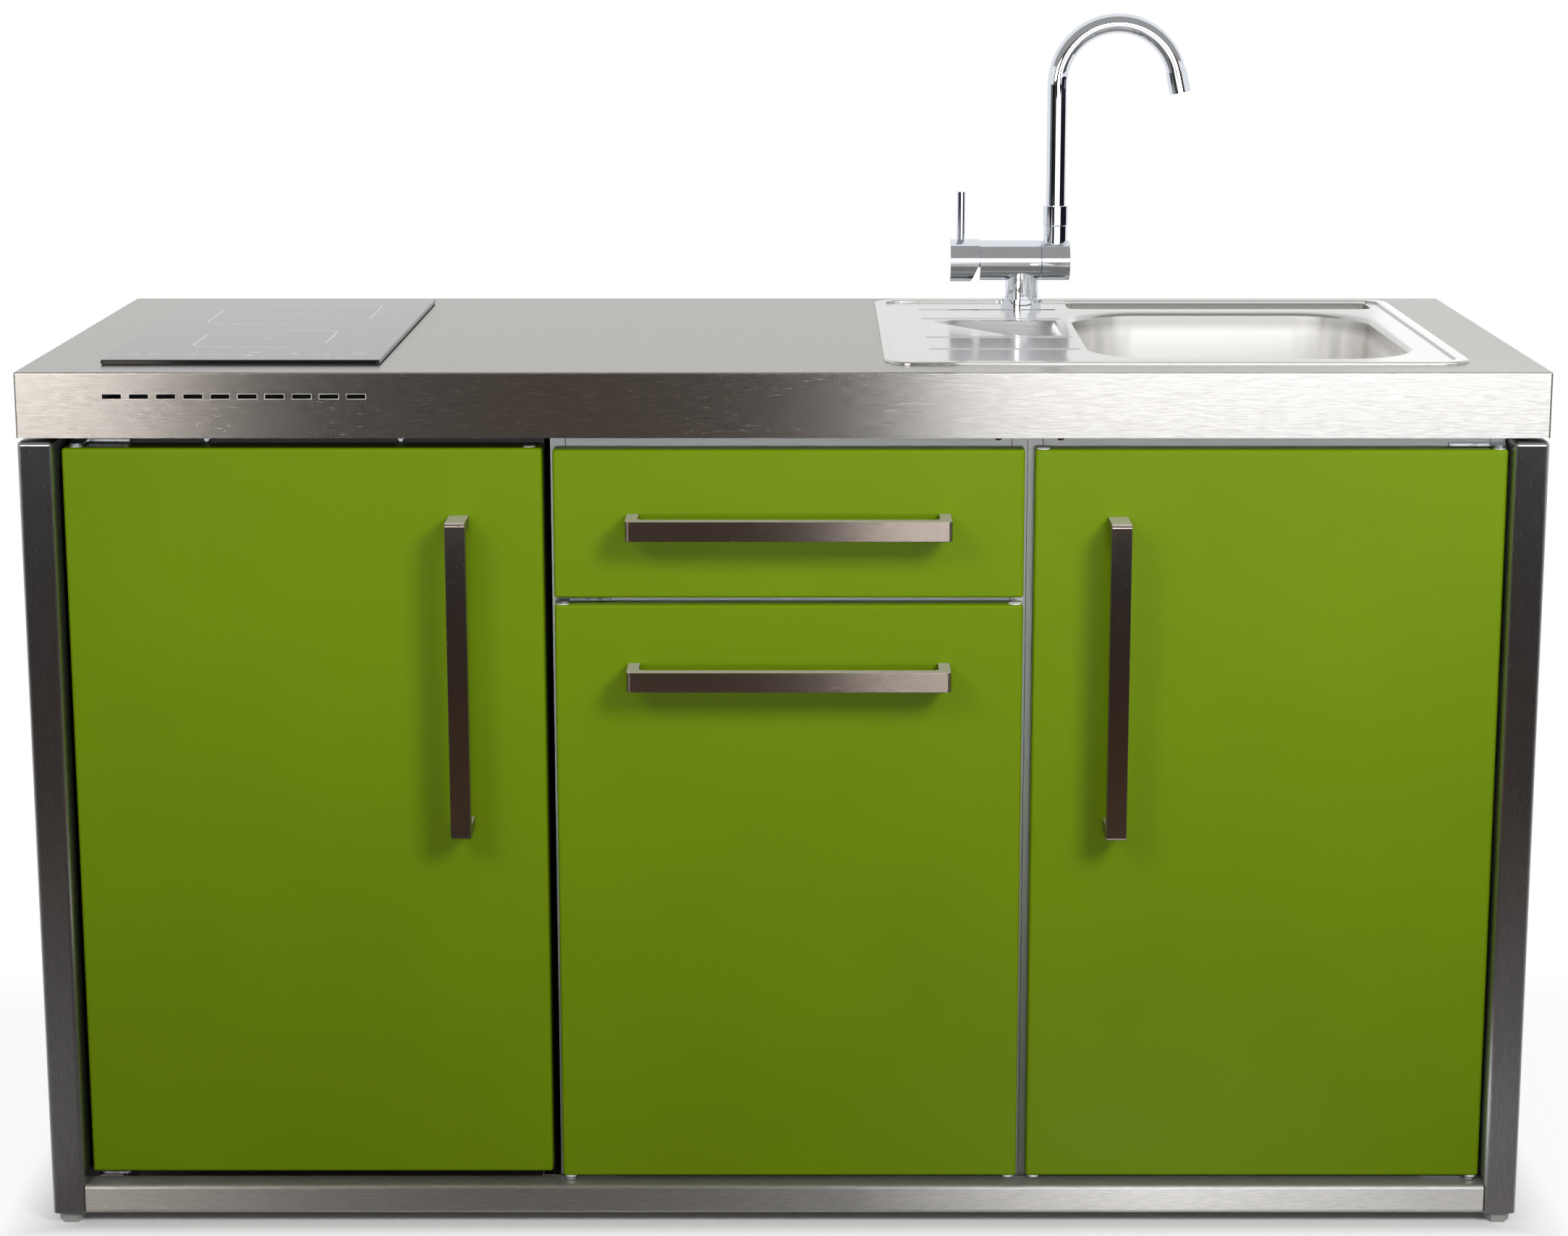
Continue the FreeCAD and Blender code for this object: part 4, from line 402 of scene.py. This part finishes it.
def hob_ceramic(name):
    """Black glass ceramic: near-black body, polished like glass, with a faint haze of wiped-off film."""
    made, tree, shader, place = new_finish(name, {"IOR": 1.52, "Specular IOR Level": 0.5})
    haze = add_node(tree, "TexNoise", {"Scale": 1 / (60 * MM), "Detail": 4.0},
                    {"Vector": place}).outputs["Fac"]
    mottle(tree, shader, haze, "#0a0a0b", depth=0.2)
    rough_between(tree, shader, haze, low=0.03, high=0.09)
    return made


def wound_copper(name, spacing):
    """Enamelled copper wire, wound in flat rings a wire apart about each coil's own middle."""
    made, tree, shader, place = new_finish(name, {"Metallic": 1.0, "Roughness": 0.3})
    low, high = (Vector(corner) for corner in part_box("induction_coils"))
    middle = (low + high) / 2
    # both coils lie the same way out from the middle, so one folded place serves the two
    offset = (high.y - low.y) / 2 - (high.x - low.x) / 2
    centred = add_node(tree, "VectorMath", {"operation": "SUBTRACT", 1: middle}, {0: place})
    folded = add_node(tree, "VectorMath", {"operation": "ABSOLUTE"}, {0: centred.outputs[0]})
    ringed = add_node(tree, "VectorMath", {"operation": "SUBTRACT", 1: (0, offset, 0)},
                      {0: folded.outputs[0]})
    # Blender's rings repeat every 2 pi / 20 of a scaled unit
    ring_unit = 0.314
    rings = add_node(tree, "TexWave", {"wave_type": "RINGS", "rings_direction": "Z",
                                       "Scale": ring_unit / spacing, "Distortion": 0.0},
                     {"Vector": ringed.outputs[0]}).outputs["Fac"]
    mottle(tree, shader, rings, "#b5683e", depth=0.35)
    relief(tree, shader, rings, strength=0.6, height=0.5 * MM)
    return made


dress(hob_ceramic("black glass ceramic, polished"), "hob_glass")
dress(moulded("black rubber, extruded", "#1a1a1a", roughness=0.6, speckle=1.0 * MM), "hob_seal")
dress(zinc_plate("black zinc-coated sheet", "#2c2c2f", roughness=0.45, cloud=9 * MM, depth=0.12),
      "hob_housing")
dress(wound_copper("enamelled copper wire, wound", spacing=2.4 * MM), "induction_coils")

INK_THICKNESS, INK_WIDTH, RING_WIDTH = 0.05 * MM, 1.4 * MM, 1.0 * MM
glass_low, glass_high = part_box("hob_glass")
hob_ink = []


def on_glass(across, forward):
    """The point on the glass so many millimetres in from its left and its front edge."""
    return glass_low[0] + across * MM, glass_low[1] + forward * MM, glass_high[2]


def start_flat(adder, spot, **shape):
    """Adds a flat primitive at a spot on the glass."""
    bpy.ops.object.select_all(action="DESELECT")
    adder(location=spot, **shape)
    bpy.ops.object.transform_apply(location=True, rotation=False, scale=False)
    return bpy.context.object


def inked(piece):
    """Gives a flat print its thickness, standing on the glass, and keeps it for joining."""
    thicken(piece, INK_THICKNESS)
    hob_ink.append(piece)


# each zone: a thin square with round corners, of which two opposite corners are printed, and a dot;
# its middle's place on the glass and its side, in millimetres
ZONES = ((139, 362, 172), (138.5, 160, 134))
ZONE_ROUND = 22 * MM
ZONE_ARM_SHARE = 0.74
ZONE_DOT = 2.2 * MM
for across, forward, side in ZONES:
    middle = on_glass(across, forward)
    for turn in (-1, 1):
        zone = start_flat(bpy.ops.mesh.primitive_plane_add, middle, size=side * MM)
        bpy.ops.object.mode_set(mode="EDIT")
        bpy.ops.mesh.select_all(action="SELECT")
        bpy.ops.mesh.bevel(affect="VERTICES", offset=ZONE_ROUND, segments=8)
        keep_band(INK_WIDTH)
        for axis in range(2):
            cut, inward = list(middle), [0, 0, 0]
            cut[axis] += turn * side * MM * (0.5 - ZONE_ARM_SHARE)
            inward[axis] = -turn
            bpy.ops.mesh.select_all(action="SELECT")
            bpy.ops.mesh.bisect(plane_co=cut, plane_no=inward, clear_outer=True)
        bpy.ops.object.mode_set(mode="OBJECT")
        inked(zone)
    inked(start_flat(bpy.ops.mesh.primitive_circle_add, middle, vertices=20, radius=ZONE_DOT,
                     fill_type="NGON"))

# touch fields along the front, as printed on any hob, in millimetres: rings by place and radius,
# bars by place, length and depth
TOUCH_ROW = 45
TOUCH_RINGS = ((24, 6), (250, 6), (185, 4.5))
TOUCH_BARS = ((46, 45, 12, 1.6), (85, 45, 12, 1.6), (85, 45, 1.6, 12), (108, 45, 22, 1.2),
              (141, 34, 11, 3.0), (143, 56, 11, 3.0), (212, 40, 20, 1.4), (185, 45, 5, 1.2),
              (222, 14, 6, 1.4), (234, 14, 6, 1.4))
for across, radius in TOUCH_RINGS:
    ring = start_flat(bpy.ops.mesh.primitive_circle_add, on_glass(across, TOUCH_ROW), vertices=32,
                      radius=radius * MM, fill_type="NGON")
    bpy.ops.object.mode_set(mode="EDIT")
    keep_band(RING_WIDTH)
    bpy.ops.object.mode_set(mode="OBJECT")
    inked(ring)
for across, forward, length, depth in TOUCH_BARS:
    spot = on_glass(across, forward)
    bar = start_flat(bpy.ops.mesh.primitive_plane_add, spot, size=length * MM)
    bpy.ops.object.mode_set(mode="EDIT")
    bpy.ops.mesh.select_all(action="SELECT")
    bpy.ops.transform.resize(value=(1, depth / length, 1), center_override=spot)
    bpy.ops.object.mode_set(mode="OBJECT")
    inked(bar)

bpy.ops.object.select_all(action="DESELECT")
for piece in hob_ink:
    piece.select_set(True)
bpy.context.view_layer.objects.active = hob_ink[0]
bpy.ops.object.join()
hob_marks = bpy.context.object
hob_marks.name = "hob_marks"
bpy.ops.object.transform_apply(location=True, rotation=True, scale=True)
hob_marks.data.materials.clear()
ceramic_ink = moulded("pale ceramic ink, fired on", "#f3f3f1", roughness=0.16, speckle=0.8 * MM,
                      settings={"Specular IOR Level": 0.5})
hob_marks.data.materials.append(ceramic_ink)
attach(hob_marks, "frame")


# Sink: one pressing of stainless sheet, bowl, drainer and rolled rim in one, with a satin polish.
# The waste and its lift-out strainer are turned and pressed from bright stainless; the trap is white pipe.

def pressed_steel(name, colour, roughness, wave, deck=None, bowl_painted_light=None):
    """Pressed stainless with a satin polish: bright, with soft waves left by the press.

    A deck is the height where the polishing wheel reaches, and where it is almost a mirror.
    Bowl painted light is a paler colour painted on the bowl, well below the deck, to brighten its reflection.
    """
    made, tree, shader, place = new_finish(name, {"Metallic": 1.0})
    waves = add_node(tree, "TexNoise", {"Scale": 1 / wave, "Detail": 1.0}, {"Vector": place}).outputs["Fac"]
    # polishing marks are far finer than a tenth of a millimetre; drawn 0.8 mm wide, so that they show
    width, length = 0.8 * MM, 14 * MM
    along = add_node(tree, "Mapping", {"Scale": (1 / length, 1 / width, 1 / width)}, {"Vector": place})
    polish = add_node(tree, "TexNoise", {"Scale": 1.0, "Detail": 2.0},
                      {"Vector": along.outputs[0]}).outputs["Fac"]
    mottle(tree, shader, polish, colour, depth=0.02)
    rough_between(tree, shader, polish, low=roughness - 0.015, high=roughness + 0.015)
    if deck:
        # the wheel takes the top 4 mm smooth, and the bowl's painted light sets in between 12 and 22 mm down
        polish_band, polish_gain = 4 * MM, 0.11
        bowl_light_start, bowl_light_full = 12 * MM, 22 * MM
        height = add_node(tree, "SeparateXYZ", links={0: place}).outputs["Z"]
        shine = add_node(tree, "MapRange", {"From Min": deck - polish_band, "From Max": deck,
                                            "To Min": 0.0, "To Max": -polish_gain}, {"Value": height})
        satin = shader.inputs["Roughness"].links[0].from_socket
        both = add_node(tree, "Math", {"operation": "ADD"}, {0: satin, 1: shine.outputs[0]})
        tree.links.new(both.outputs[0], shader.inputs["Roughness"])
        deep = add_node(tree, "MapRange", {"From Min": deck - bowl_light_full, "From Max": deck - bowl_light_start,
                                           "To Min": 1.0, "To Max": 0.0}, {"Value": height})
        blend_over(tree, shader, deep.outputs[0], bowl_painted_light)
    relief(tree, shader, waves, strength=0.015, height=0.6 * MM)
    return made


MERGE_GAP = 0.005 * MM
FLAT_ANGLE = radians(0.2)


def loose_copy(node, name):
    """A copy of a CAD piece as one joined skin, open to editing, with its flat faces made whole."""
    piece = bpy.data.objects.new(name, nodes[node].data.copy())
    bpy.context.scene.collection.objects.link(piece)
    bpy.ops.object.select_all(action="DESELECT")
    piece.select_set(True)
    bpy.context.view_layer.objects.active = piece
    bpy.ops.mesh.customdata_custom_splitnormals_clear()
    bpy.ops.object.mode_set(mode="EDIT")
    bpy.ops.mesh.select_all(action="SELECT")
    bpy.ops.mesh.remove_doubles(threshold=MERGE_GAP)
    bpy.ops.mesh.dissolve_limited(angle_limit=FLAT_ANGLE)
    bpy.ops.mesh.select_all(action="DESELECT")
    bpy.ops.object.mode_set(mode="OBJECT")
    return piece


def stand_in(piece, node, body, surface):
    """Puts a finished copy in its CAD piece's place."""
    piece.data.materials.clear()
    piece.data.materials.append(surface)
    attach(piece, body)
    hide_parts(node)


# the drainer's hollow is pressed with a floor that falls to the overflow slot and with sloping sides;
# each corner: its place across and back, and how far it moves either way, in millimetres
HOLLOW_FLOOR, DECK = 873.0 * MM, 883.2 * MM
FALL_ACROSS, FALL_FORWARD = 0.0453, 0.0283
HOLLOW_RIGHT, HOLLOW_FRONT = 293.0, -21.6
HOLLOW_CORNERS = ((160.0, 93.2, 6, 2), (160.0, 102.2, 6, -5), (HOLLOW_RIGHT, 102.2, -9, -14),
                  (HOLLOW_RIGHT, HOLLOW_FRONT, -6, 5), (239.8, HOLLOW_FRONT, 3, 5))
SLOT_CORNERS = ((245.0, -13.6, 0, 0), (245.0, -4.6, 0, 0), (285.0, -13.6, 0, 0), (285.0, -4.6, 0, 0))
HOLLOW_ROUND = 2.4 * MM
POINT_REACH = 0.2 * MM
sink = loose_copy("sink", "sink_pressing")
for across, back, shift_across, shift_back in HOLLOW_CORNERS + SLOT_CORNERS:
    corner = Vector((across * MM, back * MM, HOLLOW_FLOOR))
    rise = ((HOLLOW_RIGHT - across) * FALL_ACROSS + (back - HOLLOW_FRONT) * FALL_FORWARD) * MM
    for point in sink.data.vertices:
        point.select = (point.co - corner).length < POINT_REACH
    bpy.ops.object.mode_set(mode="EDIT")
    bpy.ops.transform.translate(value=(shift_across * MM, shift_back * MM, rise))
    bpy.ops.mesh.select_all(action="DESELECT")
    bpy.ops.object.mode_set(mode="OBJECT")
rim_corners = [Vector((across * MM, back * MM, DECK)) for across, back, _, _ in HOLLOW_CORNERS]
at_rim = [any((point.co - corner).length < POINT_REACH for corner in rim_corners)
          for point in sink.data.vertices]
for edge in sink.data.edges:
    edge.select = all(at_rim[end] for end in edge.vertices)
bpy.ops.object.mode_set(mode="EDIT")
bpy.ops.mesh.select_mode(type="EDGE")
bpy.ops.mesh.bevel(offset=HOLLOW_ROUND, segments=4)
bpy.ops.mesh.select_all(action="DESELECT")
bpy.ops.object.mode_set(mode="OBJECT")
bpy.ops.object.shade_smooth_by_angle(angle=radians(30))
# the bowl below the deck is painted paler, as painted light that brightens its reflection
satin_steel = pressed_steel("stainless pressing, satin", "#c4c3c1", roughness=0.26, wave=45 * MM,
                            deck=DECK, bowl_painted_light="#eeedeb")
stand_in(sink, "sink", "frame", satin_steel)
dress(pressed_steel("stainless, bright", "#cfcdca", roughness=0.14, wave=20 * MM),
      "waste_fitting", "strainer_basket")
dress(moulded("white polypropylene, moulded", "#e6e6e2", roughness=0.36, speckle=1.2 * MM), "waste_trap")


# Tap: brass bodies turned and bent, polished and chrome plated, with a spout that folds down at a hub.
# Every turned edge is broken by a small round, where the plating catches the light.

def chrome_plate(name, colour):
    """Chrome on polished brass: a cool mirror with a faint film of water marks."""
    made, tree, shader, place = new_finish(name, {"Metallic": 1.0})
    film = add_node(tree, "TexNoise", {"Scale": 1 / (9 * MM), "Detail": 3.0},
                    {"Vector": place}).outputs["Fac"]
    mottle(tree, shader, film, colour, depth=0.02)
    rough_between(tree, shader, film, low=0.02, high=0.07)
    return made


def eased_copy(node, body, surface, ease):
    """Stands in for a CAD piece: the same faces, with the sharp edges broken by a small round."""
    piece = loose_copy(node, node + "_eased")
    bpy.ops.object.shade_smooth()
    rounding = piece.modifiers.new("eased edges", "BEVEL")
    rounding.width = ease
    rounding.segments = 3
    rounding.limit_method = "ANGLE"
    rounding.angle_limit = radians(32)
    rounding.harden_normals = True
    bpy.ops.object.modifier_apply(modifier=rounding.name)
    stand_in(piece, node, body, surface)


TAP_EASE = 0.7 * MM
chrome = chrome_plate("chrome on polished brass", "#dbdfe6")
dress(chrome, "tap_spindle", "tap_base", "tap_spout", "tap_aerator")
for node, body in (("tap_body", "frame"), ("tap_lever", "tap_lever"), ("tap_fold_hub", "tap_fold")):
    eased_copy(node, body, chrome, TAP_EASE)
zinc = zinc_plate("zinc-plated steel", "#bcc2c8", roughness=0.3, cloud=5 * MM, depth=0.06)
dress(zinc, "tap_nut")


# Carcasses: two boxes folded from galvanised sheet and coated light grey, screwed up into the core.
# The front rails butt against the stiles, with a fine dark joint; runners and hinges are zinc-plated.

RAIL_JOINTS = (-216 * MM, 226 * MM, 256.75 * MM, 699 * MM)
JOINT_HALF_WIDTH, FACE_REACH = 0.45 * MM, 1.0 * MM
rail_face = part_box("mid_carcass")[0][1]


def coated_sheet(name, colour, roughness, gloss, joints=()):
    """Powder-coated sheet: an even colour with a fine orange peel, and dark joints across the rails."""
    made, tree, shader, place = new_finish(name, {"Specular IOR Level": gloss})
    # the peel of a powder coat is 1 to 2 mm from crest to crest, and its colour drifts over a hand's width
    peel = add_node(tree, "TexNoise", {"Scale": 1 / (1.5 * MM), "Detail": 1.0},
                    {"Vector": place}).outputs["Fac"]
    drift = add_node(tree, "TexNoise", {"Scale": 1 / (160 * MM), "Detail": 2.0},
                     {"Vector": place}).outputs["Fac"]
    mottle(tree, shader, drift, colour, depth=0.03)
    rough_between(tree, shader, peel, low=roughness - 0.05, high=roughness + 0.05)
    relief(tree, shader, peel, strength=0.10, height=0.15 * MM)
    if joints:
        spot = add_node(tree, "SeparateXYZ", links={0: place})
        lines = [add_node(tree, "Math", {"operation": "COMPARE", 1: joint, 2: JOINT_HALF_WIDTH},
                          {0: spot.outputs["X"]}).outputs[0] for joint in joints]
        for line in lines[1:]:
            lines[0] = add_node(tree, "Math", {"operation": "MAXIMUM"}, {0: lines[0], 1: line}).outputs[0]
        front = add_node(tree, "Math", {"operation": "COMPARE", 1: rail_face, 2: FACE_REACH},
                         {0: spot.outputs["Y"]})
        gap = add_node(tree, "Math", {"operation": "MULTIPLY"}, {0: front.outputs[0], 1: lines[0]})
        blend_over(tree, shader, gap.outputs[0], "#4a4b4e")
    return made


carcass_coat = coated_sheet("light grey powder coat", "#dedfe2", roughness=0.45, gloss=0.4,
                            joints=RAIL_JOINTS)
dress(carcass_coat, "mid_carcass", "mid_shelf", "sink_carcass")
dress(zinc, "drawer_runners", "drawer_slides")

# one domed screw head with a driver socket, made 1 mm in radius; each screw is a copy, scaled and turned
# to the front
HEAD_RADIUS, HEAD_WALL = 1.0 * MM, 0.7 * MM
SHOULDER_WIDTH, CROWN_RISE = 0.3 * MM, 0.22 * MM
SOCKET_MARGIN, SOCKET_DEPTH = 0.25 * MM, 0.4 * MM
HEAD_EASE = 0.08 * MM
bpy.ops.object.select_all(action="DESELECT")
bpy.ops.mesh.primitive_cylinder_add(vertices=24, radius=HEAD_RADIUS, depth=HEAD_WALL,
                                    location=(0, 0, HEAD_WALL / 2))
screw_head = bpy.context.object
bpy.ops.object.transform_apply(location=True, rotation=False, scale=False)
bpy.ops.object.mode_set(mode="EDIT")
bpy.ops.mesh.select_mode(type="FACE")
bpy.ops.mesh.select_all(action="DESELECT")
bpy.ops.object.mode_set(mode="OBJECT")
for face in screw_head.data.polygons:
    face.select = face.normal.z > 0.9
bpy.ops.object.mode_set(mode="EDIT")
bpy.ops.mesh.inset(thickness=SHOULDER_WIDTH)
bpy.ops.transform.translate(value=(0, 0, CROWN_RISE))
bpy.ops.mesh.inset(thickness=SOCKET_MARGIN)
bpy.ops.mesh.extrude_region_move(TRANSFORM_OT_translate={"value": (0, 0, -SOCKET_DEPTH)})
bpy.ops.object.mode_set(mode="OBJECT")
soften = screw_head.modifiers.new("soft", "BEVEL")
soften.width = HEAD_EASE
soften.segments = 2
bpy.ops.object.modifier_apply(modifier=soften.name)
bpy.ops.object.shade_smooth_by_angle(angle=radians(40))

# each screw: name, place across, the face that it sits on, height, radius, finish
black_zinc = zinc_plate("black zinc-plated steel", "#3a3a3c", roughness=0.35, cloud=3 * MM, depth=0.1)
case_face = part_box("fridge_cabinet")[0][1]
for name, across, face, height, radius, surface in (
        ("rail_screw_left", 212.5, rail_face, 813.0, 4.2, black_zinc),
        ("rail_screw_right", 274.0, rail_face, 813.0, 4.2, black_zinc),
        ("fridge_screw_left", -573.6, case_face, 807.0, 3.6, zinc),
        ("fridge_screw_right", -380.7, case_face, 807.0, 3.6, zinc)):
    bpy.ops.object.select_all(action="DESELECT")
    screw = bpy.data.objects.new(name, screw_head.data.copy())
    bpy.context.scene.collection.objects.link(screw)
    screw.scale = (radius, radius, radius)
    screw.rotation_euler = (radians(90), 0, 0)
    screw.location = (across * MM, face, height * MM)
    screw.select_set(True)
    bpy.context.view_layer.objects.active = screw
    bpy.ops.object.transform_apply(location=True, rotation=True, scale=True)
    screw.data.materials.append(surface)
    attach(screw, "frame")
bpy.data.objects.remove(screw_head)


# Doors and drawer front: steel pans, folded round the edge and powder coated green, on a grey inner pan.
# They swing on zinc-plated pivot hinges, whose pins turn in white nylon plugs pressed into the edges.

green_coat = coated_sheet("green powder coat", "#6d8a00", roughness=0.42, gloss=0.12)
dress(green_coat, "drawer_front", "cupboard_door_skin", "sink_door_skin", "fridge_door_skin")
dress(carcass_coat, "drawer_front_liner", "cupboard_door_liner", "sink_door_liner", "drawer_tray")
dress(zinc, "cupboard_door_hinges", "sink_door_hinges", "fridge_door_hinges")
nylon = moulded("white nylon, moulded", "#f0efeb", roughness=0.4, speckle=1.2 * MM,
                settings={"Subsurface Weight": 0.2, "Subsurface Scale": 1 * MM})
dress(nylon, "cupboard_door_plugs", "sink_door_plugs", "fridge_door_plugs")


# Handles: flat stainless bar, bent into a square-cornered U, brushed lengthwise and screwed from behind.
# Their long edges are broken by the brush, and show as fine bright lines.

HANDLE_EASE = 0.6 * MM
# the paler colour on the handles' top faces is painted light from above
level_bar = brushed_steel("stainless bar, brushed lengthwise", "#9b9087", roughness=0.25, grain="x",
                          painted_top_light="#d8cdc7")
upright_bar = brushed_steel("stainless bar, brushed upright", "#9b9087", roughness=0.25, grain="z",
                            painted_top_light="#d8cdc7")
for node, body, surface in (("drawer_handle", "drawer", level_bar),
                            ("cupboard_door_handle", "cupboard_door", level_bar),
                            ("sink_door_handle", "sink_door", upright_bar),
                            ("fridge_door_handle", "fridge_door", upright_bar)):
    eased_copy(node, body, surface, HANDLE_EASE)


# Fridge: a black-coated steel case round a vacuum-formed white liner, with glass shelves and clear trays.
# The door's inner shell is formed from the same white sheet, and a grey gasket closes against the case.

def clear_sheet(name, tint, ior, ripple):
    """Clear glass or plastic: see-through with a faint tint and soft moulding ripples."""
    made, tree, shader, place = new_finish(name, {"Base Color": linear(tint), "IOR": ior,
                                                  "Transmission Weight": 1.0})
    waves = add_node(tree, "TexNoise", {"Scale": 1 / ripple, "Detail": 1.0}, {"Vector": place}).outputs["Fac"]
    rough_between(tree, shader, waves, low=0.0, high=0.06)
    relief(tree, shader, waves, strength=0.06, height=0.3 * MM)
    return made


dress(coated_sheet("black powder coat", "#1f1f21", roughness=0.5, gloss=0.4), "fridge_cabinet")
dress(moulded("white polystyrene, vacuum formed", "#eff1f1", roughness=0.3, speckle=3.0 * MM),
      "fridge_liner", "fridge_door_liner", "thermostat_dial")
dress(moulded("grey vinyl gasket, extruded", "#c9cbcb", roughness=0.5, speckle=1.0 * MM),
      "fridge_door_gasket")
dress(clear_sheet("toughened glass", "#e6f3ee", ior=1.52, ripple=90 * MM), "fridge_shelves")
dress(clear_sheet("clear polystyrene, moulded", "#eef6f8", ior=1.57, ripple=40 * MM),
      "crisper_box", "fridge_door_racks")
dress(coated_sheet("black stove enamel", "#151516", roughness=0.3, gloss=0.5), "compressor")
